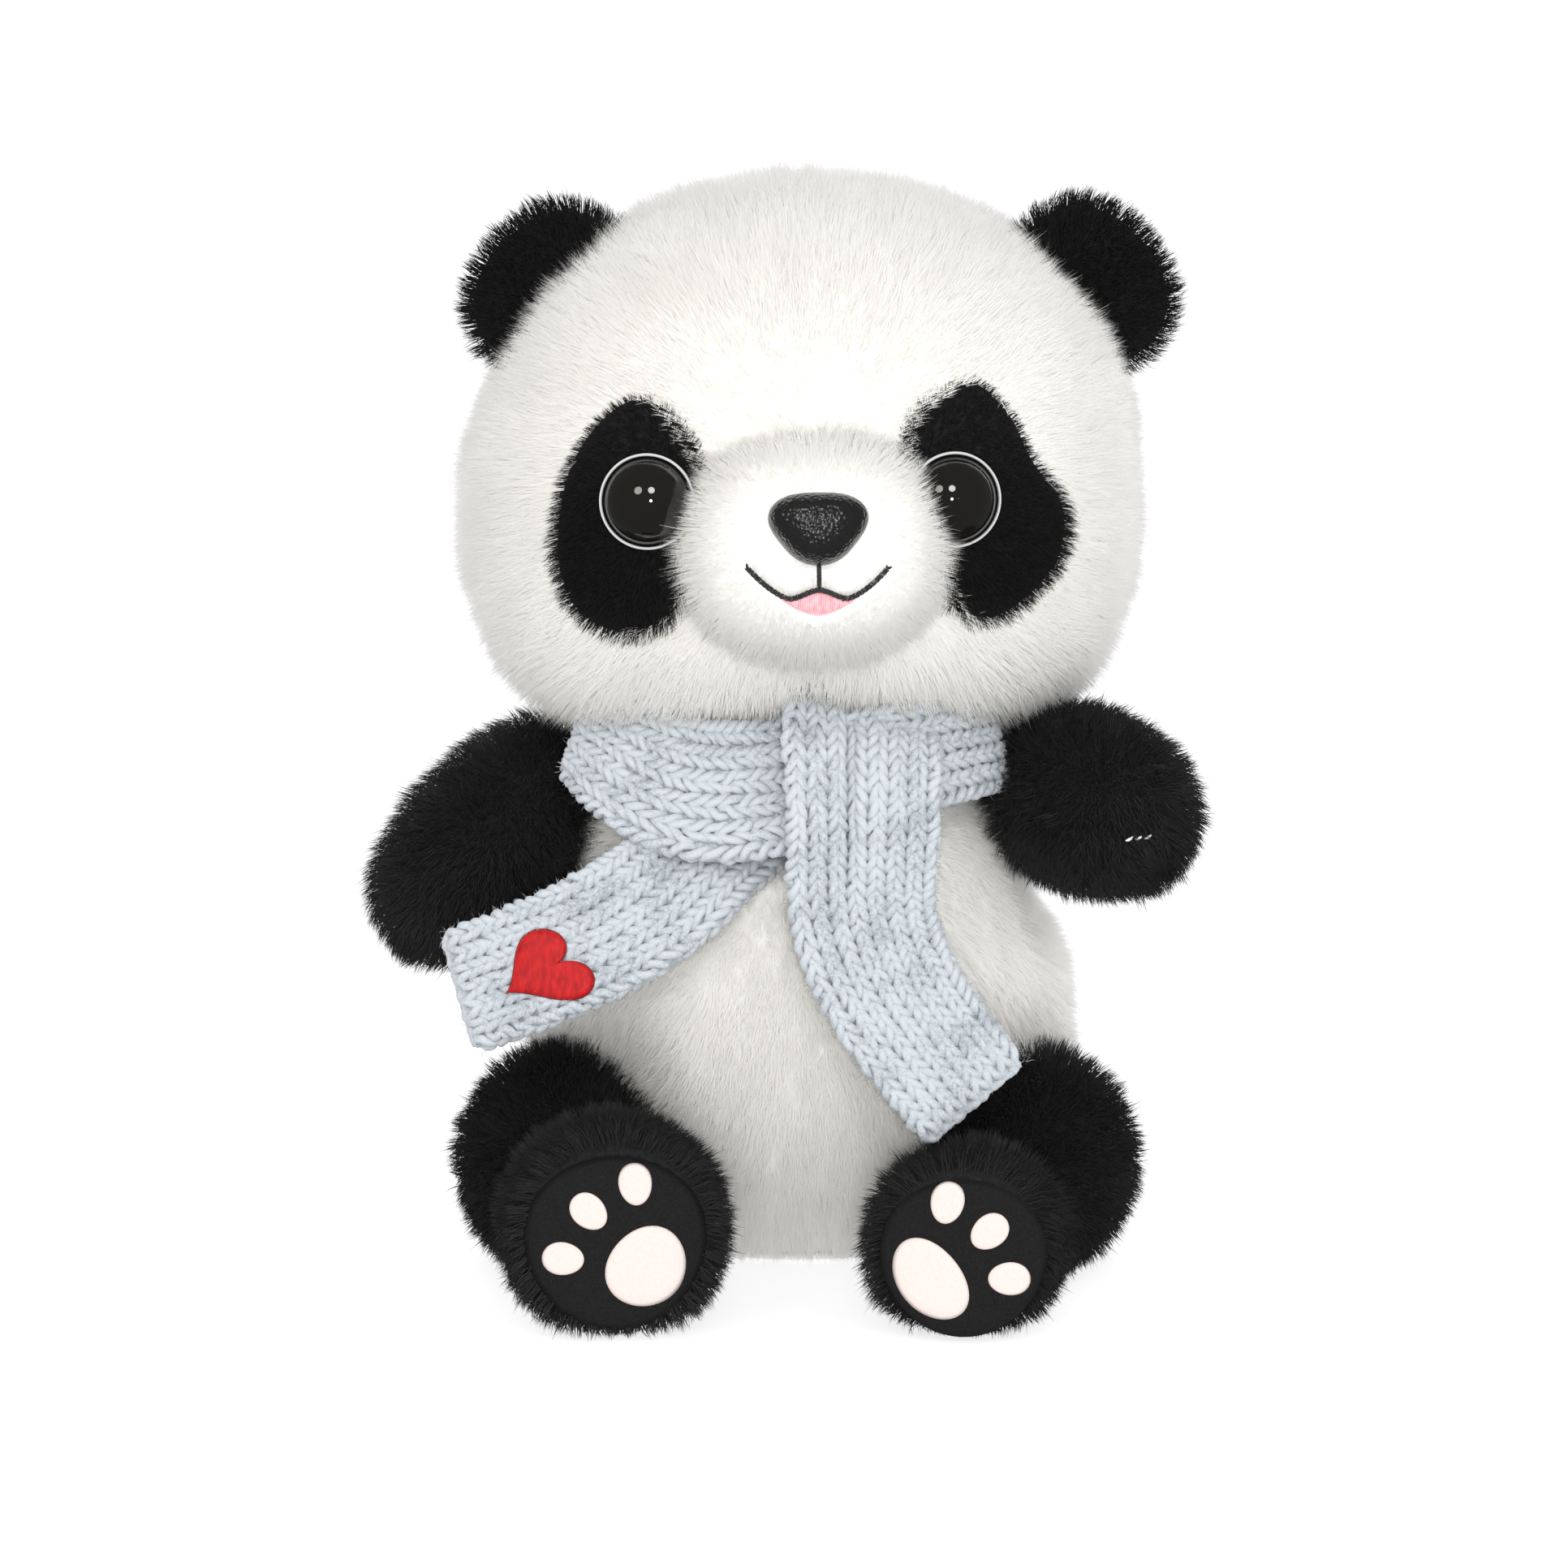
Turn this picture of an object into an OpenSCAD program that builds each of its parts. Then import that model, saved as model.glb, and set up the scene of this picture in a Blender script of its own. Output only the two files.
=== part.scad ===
// Plush panda with a knitted scarf, sitting up on its seat with its soles forward.
// Millimetres. The origin is the middle of the seat on the floor and +Z is up. The panda
// faces -Y, and its own left side is +X. Soft parts are plain closed forms without their pile.

/* [Head] */
// Height of the head's widest level above the floor
head_z = 184; // [183:0.5:186]
// Half of the head's width
head_half_width = 82; // [78:1:83]
// Half of the head's depth
head_half_depth = 60; // [59:0.5:61]
// Rise from the widest level to the crown
crown_rise = 83; // [80:1:86]
// Drop from the widest level to the chin
chin_drop = 42; // [41.5:0.5:42.5]
// Turn of the head towards the panda's left, degrees
head_yaw = 3; // [0:1:5]

/* [Face] */
// Distance of each eye from the middle of the face
eye_x = 37; // [36:0.5:38]
// Height of the eyes above the floor
eye_z = 197; // [196:0.5:198]
// Diameter of an eye with its rim
eye_d = 24; // [22:0.5:24.5]
// Half width of the muzzle
muzzle_half_width = 27; // [25:0.5:28]
// How far the muzzle reaches in front of its own centre
muzzle_depth = 33; // [31:0.5:34]
// Width of the nose
nose_w = 25; // [22:0.5:26]

/* [Ears] */
// Radius of an ear
ear_r = 17.5; // [15:0.5:19]
// Half thickness of an ear
ear_half_thick = 6; // [5:0.5:7]

/* [Body] */
// Half of the torso's width
torso_half_width = 66; // [64:0.5:67]
// Depth of the belly in front of the middle
belly_depth = 58; // [57:0.5:59]
// Depth of the back behind the middle
back_depth = 52; // [50:0.5:54]
// Thickness of the fur fabric's backing and pile base
skin = 3; // [2.5:0.5:3.5]

/* [Limbs] */
// Radius of an arm
arm_r = 18.5; // [17:0.5:19]
// Radius of a thigh and of a foot
leg_r = 27; // [26:0.5:27.5]
// Radius of a sole disc
sole_r = 23; // [21:0.5:23.5]

/* [Scarf] */
// Width of the scarf at the knot
scarf_w = 37; // [34:1:38]
// Thickness of the knitted fabric
scarf_thick = 4; // [3:0.5:4.5]

/* [Hidden] */

// Gaps: between one body and the next, between pieces sewn to each other, and round a stuffing
joint_gap = 0.4;
sewn_gap = 0.3;
fill_gap = 3.2;
white = [0.95, 0.95, 0.91];
black = [0.1, 0.1, 0.1];
fibre = [0.9, 0.9, 0.88];
knit = [0.77, 0.83, 0.86];

// ---- Points and directions ----

left = 1;
right = -1;
front = -1;
back = 1;

function power(s, e) = sign(s) * pow(abs(s), e);
function unit(v) = v / norm(v);
function mix(a, b, t) = a + (b - a) * t;
function smooth(t) = t * t * (3 - 2 * t);
function mirror_x(v, side) = [side * v.x, v.y, v.z];
function bezier(p, t) = pow(1 - t, 3) * p[0] + 3 * t * pow(1 - t, 2) * p[1]
    + 3 * t * t * (1 - t) * p[2] + pow(t, 3) * p[3];

// Direction seen from the front: turn goes round the face, rise goes from the side seam to its middle
function facing(turn, rise, side) = [cos(rise) * cos(turn), side * sin(rise), cos(rise) * sin(turn)];

// Point of a rounded form. half = [half width, front depth, back depth, rise, drop]
function egg(dir, half, blunt) = [
    half[0] * power(dir.x, 2 / blunt),
    (dir.y < 0 ? half[1] : half[2]) * power(dir.y, 2 / blunt),
    (dir.z > 0 ? half[3] : half[4]) * power(dir.z, 2 / blunt)];

function shrink(half, inset) = [for (h = half) h - inset];

// What lies past the plane normal * p = reach is pressed flat onto it
function pressed(p, normal, reach) = p - max(0, normal * p - reach) * normal;

// A point given along a frame's own axes
function from_frame(frame, p) = frame[0] * p.x + frame[1] * p.y + frame[2] * p.z;

// ---- Solids from those points ----

function ring_points(form, columns, rows, low) = [
    for (row = [0 : rows - 1], column = [0 : columns - 1])
        form(360 * column / columns, low + (90 - low) * row / rows)];

function grid_faces(columns, rows, start, outward) = [
    for (row = [0 : rows - 2], column = [0 : columns - 1])
        let (a = start + row * columns + column, b = start + row * columns + (column + 1) % columns,
             c = b + columns, d = a + columns)
            each outward ? [[d, c, b], [d, b, a]] : [[b, c, d], [a, b, d]]];

function fan_faces(columns, first, pole, outward) = [
    for (column = [0 : columns - 1])
        let (a = first + column, b = first + (column + 1) % columns)
            outward ? [pole, b, a] : [a, b, pole]];

function turned(faces) = [for (f = faces) [for (i = [len(f) - 1 : -1 : 0]) f[i]]];

// Half shell between two domes that share a rim. side says which way the domes bulge along the frame's y
module half_shell(outer, inner, side, columns, rows) {
    count = columns * rows;
    points = concat(ring_points(outer, columns, rows, 0), [outer(0, 90)],
        ring_points(inner, columns, rows, 0), [inner(0, 90)]);
    rim = [for (column = [0 : columns - 1]) let (next = (column + 1) % columns)
        each [[column, next, count + 1 + next], [column, count + 1 + next, count + 1 + column]]];
    faces = concat(grid_faces(columns, rows, 0, true),
        fan_faces(columns, count - columns, count, true),
        grid_faces(columns, rows, count + 1, false),
        fan_faces(columns, 2 * count + 1 - columns, 2 * count + 1, false), rim);
    polyhedron(points, side == front ? faces : turned(faces));
}

// Closed form that fills the inside of both domes
module filling(form, columns, rows) {
    count = columns * (2 * rows - 1);
    ring = [for (row = [1 : 2 * rows - 1], column = [0 : columns - 1])
        form(360 * column / columns, 90 * (row - rows) / rows)];
    polyhedron(concat(ring, [form(0, 90), form(0, -90)]),
        concat(grid_faces(columns, 2 * rows - 1, 0, true),
            fan_faces(columns, count - columns, count, true),
            fan_faces(columns, 0, count + 1, false)));
}

// Tube or strip: one loop of points per station, closed at both ends by a flat cap
module loft(loops) {
    n = len(loops[0]);
    last = (len(loops) - 1) * n;
    polyhedron([for (loop = loops) each loop],
        concat(grid_faces(n, len(loops), 0, true),
            [[for (i = [0 : n - 1]) i]],
            [[for (i = [n - 1 : -1 : 0]) last + i]]));
}

// Thread of round section along points that all run in the XZ plane or close to it
module thread(points, radius) {
    sides = 6;
    loft([for (i = [0 : len(points) - 1])
        let (ahead = points[min(i + 1, len(points) - 1)], behind = points[max(i - 1, 0)],
             along = unit(ahead - behind), out = [0, -1, 0], across = unit(cross(along, out)),
             up = cross(across, along))
            [for (k = [0 : sides - 1])
                points[i] + radius * (cos(360 * k / sides) * across - sin(360 * k / sides) * up)]]);
}

// Flat oval plate standing on z = 0
module oval(half_w, half_h, thick) {
    linear_extrude(thick) polygon([for (a = [0 : 15 : 345]) [half_w * cos(a), half_h * sin(a)]]);
}

// ---- Head ----

head_half = [head_half_width, head_half_depth, head_half_depth, crown_rise, chin_drop];
head_blunt = 2.2;
neck_r = 24;
neck_z = 139.5;
neck_room = 3.2;
head_columns = 40;
head_rows = 10;

// Each eye's washer pulls the face flat: the seat of the left eye and its outward direction
eye_y = -head_half_depth + 7;
eye_yaw = 9;
eye_pitch = 5;
eye_out = [sin(eye_yaw) * cos(eye_pitch), -cos(eye_yaw) * cos(eye_pitch), sin(eye_pitch)];
eye_seat = [eye_x, eye_y, eye_z];
patch_lift = 2.3;

function eye_plane_y(x, z) = (eye_out.x * abs(x) + eye_out.z * z - eye_out * eye_seat) / -eye_out.y;

// Front of the face at x, z, lifted forward by lift
function face_y(x, z, lift) = let (
    tall = z > head_z ? crown_rise : chin_drop,
    left_over = 1 - pow(abs(x) / head_half_width, head_blunt)
        - pow(abs(z - head_z) / tall, head_blunt))
    max(-head_half_depth * pow(max(0, left_over), 1 / head_blunt), eye_plane_y(x, z)) - lift;

function above_neck(p, r) = let (reach = r * r - p.x * p.x - p.y * p.y)
    reach <= 0 ? p : [p.x, p.y, max(p.z, neck_z + sqrt(reach))];

function head_point(dir, inset) = let (
    p = egg(dir, shrink(head_half, inset), head_blunt) + [0, 0, head_z])
    above_neck([p.x, max(p.y, eye_plane_y(p.x, p.z) + inset), p.z], neck_r + neck_room + inset);

module head_frame() {
    rotate([0, 0, head_yaw]) children();
}

module head_half_skin(side) {
    half_shell(function (turn, rise) head_point(facing(turn, rise, side), 0),
        function (turn, rise) head_point(facing(turn, rise, side), skin),
        side, head_columns, head_rows);
}

// An eye's own frame: the origin is on its seat and +Z points out of the face
module at_eye(side) {
    translate([side * eye_x, eye_y, eye_z])
        rotate([0, 0, side * eye_yaw]) rotate([90 - eye_pitch, 0, 0]) children();
}

shank_r = 2.6;
shank_hole_r = 3;
washer_r = 8;
washer_thick = 1.5;
washer_at = -skin - 1.9;
eye_base = patch_lift + sewn_gap;

module eye_hole(side) {
    at_eye(side) translate([0, 0, -20]) cylinder(h = 30, r = shank_hole_r, $fn = 12);
}

module head_front_skin() {
    color(white) head_frame() difference() {
        head_half_skin(front);
        for (side = [left, right]) eye_hole(side);
    }
}

module head_back_skin() {
    color(white) head_frame() head_half_skin(back);
}

module head_stuffing() {
    color(fibre) head_frame() difference() {
        filling(function (turn, rise) head_point(facing(turn, rise, front), skin + fill_gap), 28, 7);
        for (side = [left, right]) at_eye(side)
            translate([0, 0, -20]) cylinder(h = 30, r = washer_r + sewn_gap, $fn = 12);
    }
}

module neck_wad() {
    color(fibre) translate([0, 0, neck_z]) sphere(r = neck_r);
}

// ---- Face ----

muzzle_centre = [0, -48, 186];
muzzle_half = [muzzle_half_width, muzzle_depth, muzzle_depth, 22, 24];
muzzle_blunt = 2.2;
nose_pitch = 15;
nose_out = [0, -cos(nose_pitch), sin(nose_pitch)];
nose_seat = [0, -77.5, 194];

function nose_plane_y(z) = (nose_out.z * z - nose_out * nose_seat) / -nose_out.y;

function muzzle_point(dir, inset) = let (
    p = egg(dir, shrink(muzzle_half, inset), muzzle_blunt) + muzzle_centre,
    rim_lift = inset > 0 ? sewn_gap : 2 + sewn_gap)
    [p.x, min(max(p.y, nose_plane_y(p.z) + inset), face_y(p.x, p.z, rim_lift)), p.z];

// Front of the muzzle at x, z, lifted forward by lift
function muzzle_y(x, z, lift) = let (
    tall = z > muzzle_centre.z ? muzzle_half[3] : muzzle_half[4],
    left_over = 1 - pow(abs(x) / muzzle_half_width, muzzle_blunt)
        - pow(abs(z - muzzle_centre.z) / tall, muzzle_blunt))
    max(muzzle_centre.y - muzzle_depth * pow(max(0, left_over), 1 / muzzle_blunt),
        nose_plane_y(z)) - lift;

module at_nose() {
    translate(nose_seat) rotate([90 - nose_pitch, 0, 0]) children();
}

module nose_hole(r) {
    at_nose() translate([0, 0, -16]) cylinder(h = 24, r = r, $fn = 12);
}

module muzzle_shell(grow) {
    half_shell(function (turn, rise) muzzle_point(facing(turn, rise, front), -grow),
        function (turn, rise) muzzle_point(facing(turn, rise, front), skin - grow), front, 28, 7);
}

module muzzle_skin() {
    color(white) head_frame() difference() {
        muzzle_shell(0);
        nose_hole(shank_hole_r);
    }
}

// Fills the muzzle up to the front of the face
module muzzle_stuffing() {
    color(fibre) head_frame() difference() {
        half_shell(function (turn, rise) let (p = muzzle_point(facing(turn, rise, front), skin + fill_gap))
                [p.x, min(p.y, face_y(p.x, p.z, 2 * sewn_gap)), p.z],
            function (turn, rise) let (p = muzzle_point(facing(turn, rise, front), skin + fill_gap))
                [p.x, face_y(p.x, p.z, sewn_gap), p.z],
            front, 20, 5);
        nose_hole(washer_r + sewn_gap);
    }
}

// Outline of the fur patch round an eye: an egg that leans inwards at the top
patch_centre = [41, 192];
patch_half_w = 16.5;
patch_half_h = 28;
patch_lean = 10;

function patch_point(side, turn, rise, lift) = let (
    across = patch_half_w * cos(turn) * (1 - rise / 90),
    up = side * patch_half_h * sin(turn) * (1 - rise / 90),
    x = patch_centre.x + across * cos(patch_lean) - up * sin(patch_lean),
    z = patch_centre.y + across * sin(patch_lean) + up * cos(patch_lean))
    [side * x, face_y(x, z, lift), z];

module eye_patch(side) {
    color(black) head_frame() difference() {
        half_shell(function (turn, rise) patch_point(side, turn, rise, patch_lift),
            function (turn, rise) patch_point(side, turn, rise, sewn_gap), front, 28, 5);
        eye_hole(side);
        // The muzzle is sewn over the patch's inner edge
        translate([0, muzzle_centre.y, muzzle_centre.z]) rotate([90, 0, 0])
            oval(muzzle_half_width + 1, muzzle_half[4] + 1, 20);
    }
}

// Rounded dome, button and shank of a safety eye, drawn as one turned profile
module eye_dome(side) {
    base_r = eye_d / 2 - 1.6;
    dome_h = 6;
    dome_r = (base_r * base_r + dome_h * dome_h) / (2 * dome_h);
    base_thick = 1.6;
    color(black) head_frame() at_eye(side) translate([0, 0, eye_base]) {
        intersection() {
            translate([0, 0, base_thick + dome_h - dome_r]) sphere(r = dome_r);
            translate([0, 0, base_thick]) cylinder(h = dome_h, r = base_r);
        }
        cylinder(h = base_thick, r = base_r);
        translate([0, 0, -12]) cylinder(h = 12, r = shank_r);
    }
}

module eye_ring(side) {
    color("white") head_frame() at_eye(side) translate([0, 0, eye_base]) difference() {
        cylinder(h = 2, r = eye_d / 2);
        translate([0, 0, -1]) cylinder(h = 4, r = eye_d / 2 - 1.4);
    }
}

module washer(at) {
    translate([0, 0, at - washer_thick]) difference() {
        cylinder(h = washer_thick, r = washer_r);
        translate([0, 0, -1]) cylinder(h = washer_thick + 2, r = shank_r + 0.1);
    }
}

module eye_washer(side) {
    color("white") head_frame() at_eye(side) washer(washer_at);
}

nose_h = 17.5;
nose_depth = 9;

// Rounded triangle, point down
function nose_point(turn, rise, lift, bulge) = let (
    lobe = (1 + 0.1 * cos(3 * (turn + 90))) / 1.05,
    size = pow(cos(rise), 0.8) * lobe)
    [nose_w / 2 * size * cos(turn), -lift - bulge * sin(rise), nose_h / 2 * size * sin(turn)];

module nose() {
    color([0.06, 0.06, 0.06]) head_frame() at_nose() {
        rotate([-90, 0, 0])
            half_shell(function (turn, rise) nose_point(turn, rise, 1.2, nose_depth - 1.2),
                function (turn, rise) nose_point(turn, rise, sewn_gap, 0), front, 28, 7);
        translate([0, 0, -12]) cylinder(h = 12 + 0.6, r = shank_r);
    }
}

module nose_washer() {
    color("white") head_frame() at_nose() washer(-skin - 3.4);
}

// Smile and the line from the nose down to it
smile_half_w = 16.5;
smile_z = 177;
smile_rise = 5.5;
thread_r = 0.6;

module mouth_stitching() {
    color(black) head_frame() {
        thread([for (x = [-smile_half_w : smile_half_w / 8 : smile_half_w])
            let (z = smile_z + smile_rise * pow(abs(x) / smile_half_w, 1.7))
                [x, muzzle_y(x, z, thread_r + 0.3), z]], thread_r);
        thread([for (z = [185 : -2 : smile_z + 1.4]) [0, muzzle_y(0, z, thread_r + 0.3), z]], thread_r);
    }
}

module tongue_patch() {
    tongue_z = 173.6;
    function tongue_point(turn, rise, lift) = let (
        x = 7.5 * cos(turn) * (1 - rise / 90), z = tongue_z + 2.3 * sin(turn) * (1 - rise / 90))
        [x, muzzle_y(x, z, lift), z];
    color([0.98, 0.73, 0.76]) head_frame()
        half_shell(function (turn, rise) tongue_point(turn, rise, 0.9),
            function (turn, rise) tongue_point(turn, rise, 0.2), front, 16, 2);
}

// ---- Ears ----

// Ears stand on the head along this lean from upright. The left one is sewn on with more of its root out
ear_lean = 49;
ear_blunt = 2.3;

function ear_centre(side) = side == left ? [75, 0, 244.5] : [-67.5, 0, 245];
function ear_root(side) = side == left ? 10 : 4.4;

function ear_out(side) = [side * sin(ear_lean), 0, cos(ear_lean)];
function ear_frame(side) = [[side * cos(ear_lean), 0, -sin(ear_lean)] * side, [0, 1, 0], ear_out(side)];

function ear_point(side, dir, inset) = ear_centre(side) + from_frame(ear_frame(side),
    egg(dir, shrink([ear_r, ear_half_thick, ear_half_thick, ear_r, ear_root(side)], inset), ear_blunt));

module ear_half_skin(side, face) {
    color(black) head_frame()
        half_shell(function (turn, rise) ear_point(side, facing(turn, rise, face), 0),
            function (turn, rise) ear_point(side, facing(turn, rise, face), 2.4), face, 20, 5);
}

module ear_front_skin(side) {
    ear_half_skin(side, front);
}

module ear_back_skin(side) {
    ear_half_skin(side, back);
}

module ear_batting(side) {
    color(fibre) head_frame()
        filling(function (turn, rise) ear_point(side, facing(turn, rise, front), 2.7), 16, 3);
}

// ---- Torso ----

torso_z = 50;
torso_rise = 92;
torso_drop = 56;
torso_blunt = 2.15;
torso_half = [torso_half_width, belly_depth, back_depth, torso_rise, torso_drop];
torso_top = 137;
seat_thick = 2.5;

// Flat seams where the limbs are sewn on, for the left side
shoulder_out = unit([0.97, 0, 0.22]);
shoulder_at = [51, 0, 104];
hip_out = unit([0.736, -0.677, 0]);
hip_at = [49, -32, 29];

function in_neck(p, r) = let (reach = r * r - p.x * p.x - p.y * p.y)
    reach <= 0 ? p : [p.x, p.y, min(p.z, neck_z - sqrt(reach))];

function at_seams(p, inset) = let (
    side = p.x < 0 ? right : left,
    q = pressed(mirror_x(p, side), shoulder_out, shoulder_out * shoulder_at - inset),
    r = pressed(q, hip_out, hip_out * hip_at - inset))
    mirror_x(r, side);

function torso_point(dir, inset) = let (
    p = egg(dir, shrink(torso_half, inset), torso_blunt) + [0, 0, torso_z],
    q = at_seams(p, inset),
    r = [q.x, q.y, max(min(q.z, torso_top - inset), seat_thick + sewn_gap + inset)])
    in_neck(r, neck_r + neck_room + inset);

module torso_half_skin(side) {
    color(white) half_shell(function (turn, rise) torso_point(facing(turn, rise, side), 0),
        function (turn, rise) torso_point(facing(turn, rise, side), skin), side, 40, 10);
}

module torso_front_skin() {
    torso_half_skin(front);
}

module torso_back_skin() {
    torso_half_skin(back);
}

bag_half = [36, 30, 30, 13, 8];
bag_z = 16;

module bag_form(grow) {
    filling(function (turn, rise) egg(facing(turn, rise, front), shrink(bag_half, -grow), 2.4)
        + [0, 2, bag_z], 16, 4);
}

module bean_bag() {
    color([0.85, 0.83, 0.78]) bag_form(0);
}

module torso_stuffing() {
    color(fibre) difference() {
        filling(function (turn, rise) torso_point(facing(turn, rise, front), skin + fill_gap), 28, 7);
        bag_form(0.4);
    }
}

module seat_panel() {
    color(white) oval(44, 38, seat_thick);
}

tail_half = [11, 11, 11, 11, 11];

function tail_point(dir, inset) = [0, back_depth + 9, 24] + egg(dir, shrink(tail_half, inset), 2.1);

module tail_skin() {
    color(white) difference() {
        filling(function (turn, rise) tail_point(facing(turn, rise, front), 0), 16, 4);
        filling(function (turn, rise) tail_point(facing(turn, rise, front), 2.4), 16, 4);
    }
}

module tail_stuffing() {
    color(fibre) filling(function (turn, rise) tail_point(facing(turn, rise, front), 2.7), 12, 3);
}

// ---- Arms: the left one points forwards, the right one hangs out to the side ----

arm_tip = 37;
arm_heel = 33;
arm_blunt = 2.3;
arm_middle = 31;

function arm_root(side) = side == left ? [56.5, -7, 120] : [-56, -2, 123.4];
function arm_along(side) = side == left ? unit([0.43, -0.88, -0.02]) : unit([-0.62, -0.58, -0.53]);
function arm_frame(side) = let (along = arm_along(side),
    outer = unit(cross(along, [0, 0, side])))
    [cross(outer, along), outer, along];

function arm_point(side, dir, inset) = let (
    p = arm_root(side) + arm_along(side) * arm_middle + from_frame(arm_frame(side),
        egg(dir, shrink([arm_r, arm_r - 1, arm_r - 1, arm_tip, arm_heel], inset), arm_blunt)),
    q = pressed(mirror_x(p, side), -shoulder_out, -(shoulder_out * shoulder_at + joint_gap + inset)))
    mirror_x(q, side);

module arm_half_skin(side, face) {
    color(black) half_shell(function (turn, rise) arm_point(side, facing(turn, rise, face), 0),
        function (turn, rise) arm_point(side, facing(turn, rise, face), skin), face, 20, 6);
}

module arm_inner_skin(side) {
    arm_half_skin(side, front);
}

module arm_outer_skin(side) {
    arm_half_skin(side, back);
}

module arm_stuffing(side) {
    color(fibre) filling(function (turn, rise)
        arm_point(side, facing(turn, rise, front), skin + fill_gap), 16, 4);
}

tack_at = 69.2;
tack_pitch = 2.6;
tack_r = 0.7;

// Three tacking stitches that gather the left paw's tip
module paw_stitches() {
    color("white") for (k = [-1 : 1])
        translate(arm_root(left) + arm_along(left) * tack_at + arm_frame(left)[0] * tack_pitch * k)
            sphere(r = tack_r);
}

// ---- Legs ----

sole_yaw = 4;
sole_pitch = 9;
sole_out = [-sin(sole_yaw), -cos(sole_yaw) * cos(sole_pitch), sin(sole_pitch)];
leg_back_y = -12;
leg_front_y = -93;
thigh_x = 60;
foot_x = 41;
ankle_waist = 5;
ankle_at = 0.62;
hip_round = 0.34;
toe_round = 0.86;
lip = 3;

// s runs from 0 at the hip to 1 at the sole
function leg_radius(s) = leg_r - ankle_waist * exp(-pow((s - ankle_at) / 0.2, 2));
function leg_taper(s) = s < hip_round ? sqrt(max(0, 1 - pow(1 - s / hip_round, 2))) : 1;
function leg_lip(s) = s > toe_round ? lip * pow((s - toe_round) / (1 - toe_round), 2) : 0;
function leg_middle(s) = [mix(thigh_x, foot_x, smooth(s)), mix(leg_back_y, leg_front_y, s),
    leg_radius(s) + 0.6];

function leg_point(side, turn, s, inset, wide = 1) = let (
    across = unit(cross([0, 0, 1], -sole_out)), up = cross(-sole_out, across),
    r = wide * max(0, leg_radius(s) * leg_taper(s) - leg_lip(s) - inset * (s > 0.02 ? 1 : 0)),
    p = leg_middle(s) + r * (cos(turn) * across + side * sin(turn) * up),
    low = [p.x, p.y, max(p.z, inset)],
    q = pressed(low, -hip_out, -(hip_out * hip_at + joint_gap + inset)))
    mirror_x(q, side);

// The shell is open at the sole, where the disc closes it
module leg_skin(side) {
    color(black) half_shell(function (turn, rise) leg_point(side, turn, 1 - rise / 90, 0),
        function (turn, rise) leg_point(side, turn, mix(1, 0.045, rise / 90), skin), front, 28, 14);
}

module leg_stuffing(side) {
    color(fibre) filling(function (turn, rise)
        leg_point(side, turn, mix(0.93, 0.1, (rise + 90) / 180), skin + fill_gap,
            abs(rise) > 80 ? 0 : 1), 20, 6);
}

// A sole's own frame: the origin is its centre and +Z points out of it
module at_sole(side) {
    translate([side * leg_middle(1).x, leg_middle(1).y, leg_middle(1).z])
        rotate([0, 0, -side * sole_yaw]) rotate([90 - sole_pitch, 0, 0]) children();
}

sole_thick = 1.6;
pad_thick = 0.8;
paw_turn = -45;

module sole_disc(side) {
    color(black) at_sole(side) translate([0, 0, -sole_thick]) cylinder(h = sole_thick, r = sole_r - 2.4);
}

module pad(side, along, across, half_w, half_h) {
    rotate([0, 0, side * paw_turn]) translate([side * across, along, 0.1]) oval(half_w, half_h, pad_thick);
}

module heel_pad(side) {
    color([0.97, 0.93, 0.91]) at_sole(side) pad(side, -8, 0, 9, 9.5);
}

module toe_pads(side) {
    color([0.97, 0.93, 0.91]) at_sole(side) {
        pad(side, 7, -13, 4.2, 5.2);
        pad(side, 12, 0, 4.2, 5.2);
        pad(side, 7, 13, 4.2, 5.2);
    }
}

// ---- Scarf ----

function torso_size(z) = let (tall = z > torso_z ? torso_rise : torso_drop)
    pow(max(0, 1 - pow(abs(z - torso_z) / tall, torso_blunt)), 1 / torso_blunt);

// Loop round the neck, lower and wider in front than behind
loop_half_h = 8.5;
loop_thick = 6.5;
loop_side_z = 131;
loop_front_drop = 5.5;
loop_segments = 40;

function at_arms(p) = let (side = p.x < 0 ? right : left)
    mirror_x(pressed(mirror_x(p, side), shoulder_out, shoulder_out * shoulder_at - 0.1), side);

function loop_section(turn) = let (
    ahead = max(0, -sin(turn)),
    middle_z = loop_side_z - loop_front_drop * ahead,
    half_h = loop_half_h + 2 * ahead, half_thick = loop_thick / 2 + 0.6 * ahead)
    [for (a = [0 : 45 : 315]) let (z = middle_z + half_h * sin(a),
        out = 1 + half_thick * (1 + cos(a)),
        base = torso_size(middle_z - half_h * 0.2 + (z - middle_z) * 0.75))
        at_arms([(torso_half_width * base + out) * cos(turn),
            ((turn > 180 ? belly_depth : back_depth) * base + out) * sin(turn), z])];

module scarf_loop() {
    loops = [for (i = [0 : loop_segments - 1]) loop_section(360 * i / loop_segments)];
    n = len(loops[0]);
    color(knit) polyhedron([for (loop = loops) each loop],
        [for (i = [0 : loop_segments - 1], k = [0 : n - 1])
            let (a = i * n + k, b = i * n + (k + 1) % n,
                 d = ((i + 1) % loop_segments) * n + k, c = ((i + 1) % loop_segments) * n + (k + 1) % n)
                each [[a, b, c], [a, c, d]]]);
}

// Frame of a strip at t: across its width, along it, and out of its face
function strip_frame(curve, t) = let (
    p = bezier(curve, t),
    along = unit(bezier(curve, min(1, t + 0.01)) - bezier(curve, max(0, t - 0.01))),
    across = unit(cross(along, [p.x / 90, -1, 0.15])))
    [across, along, cross(across, along)];

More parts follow.
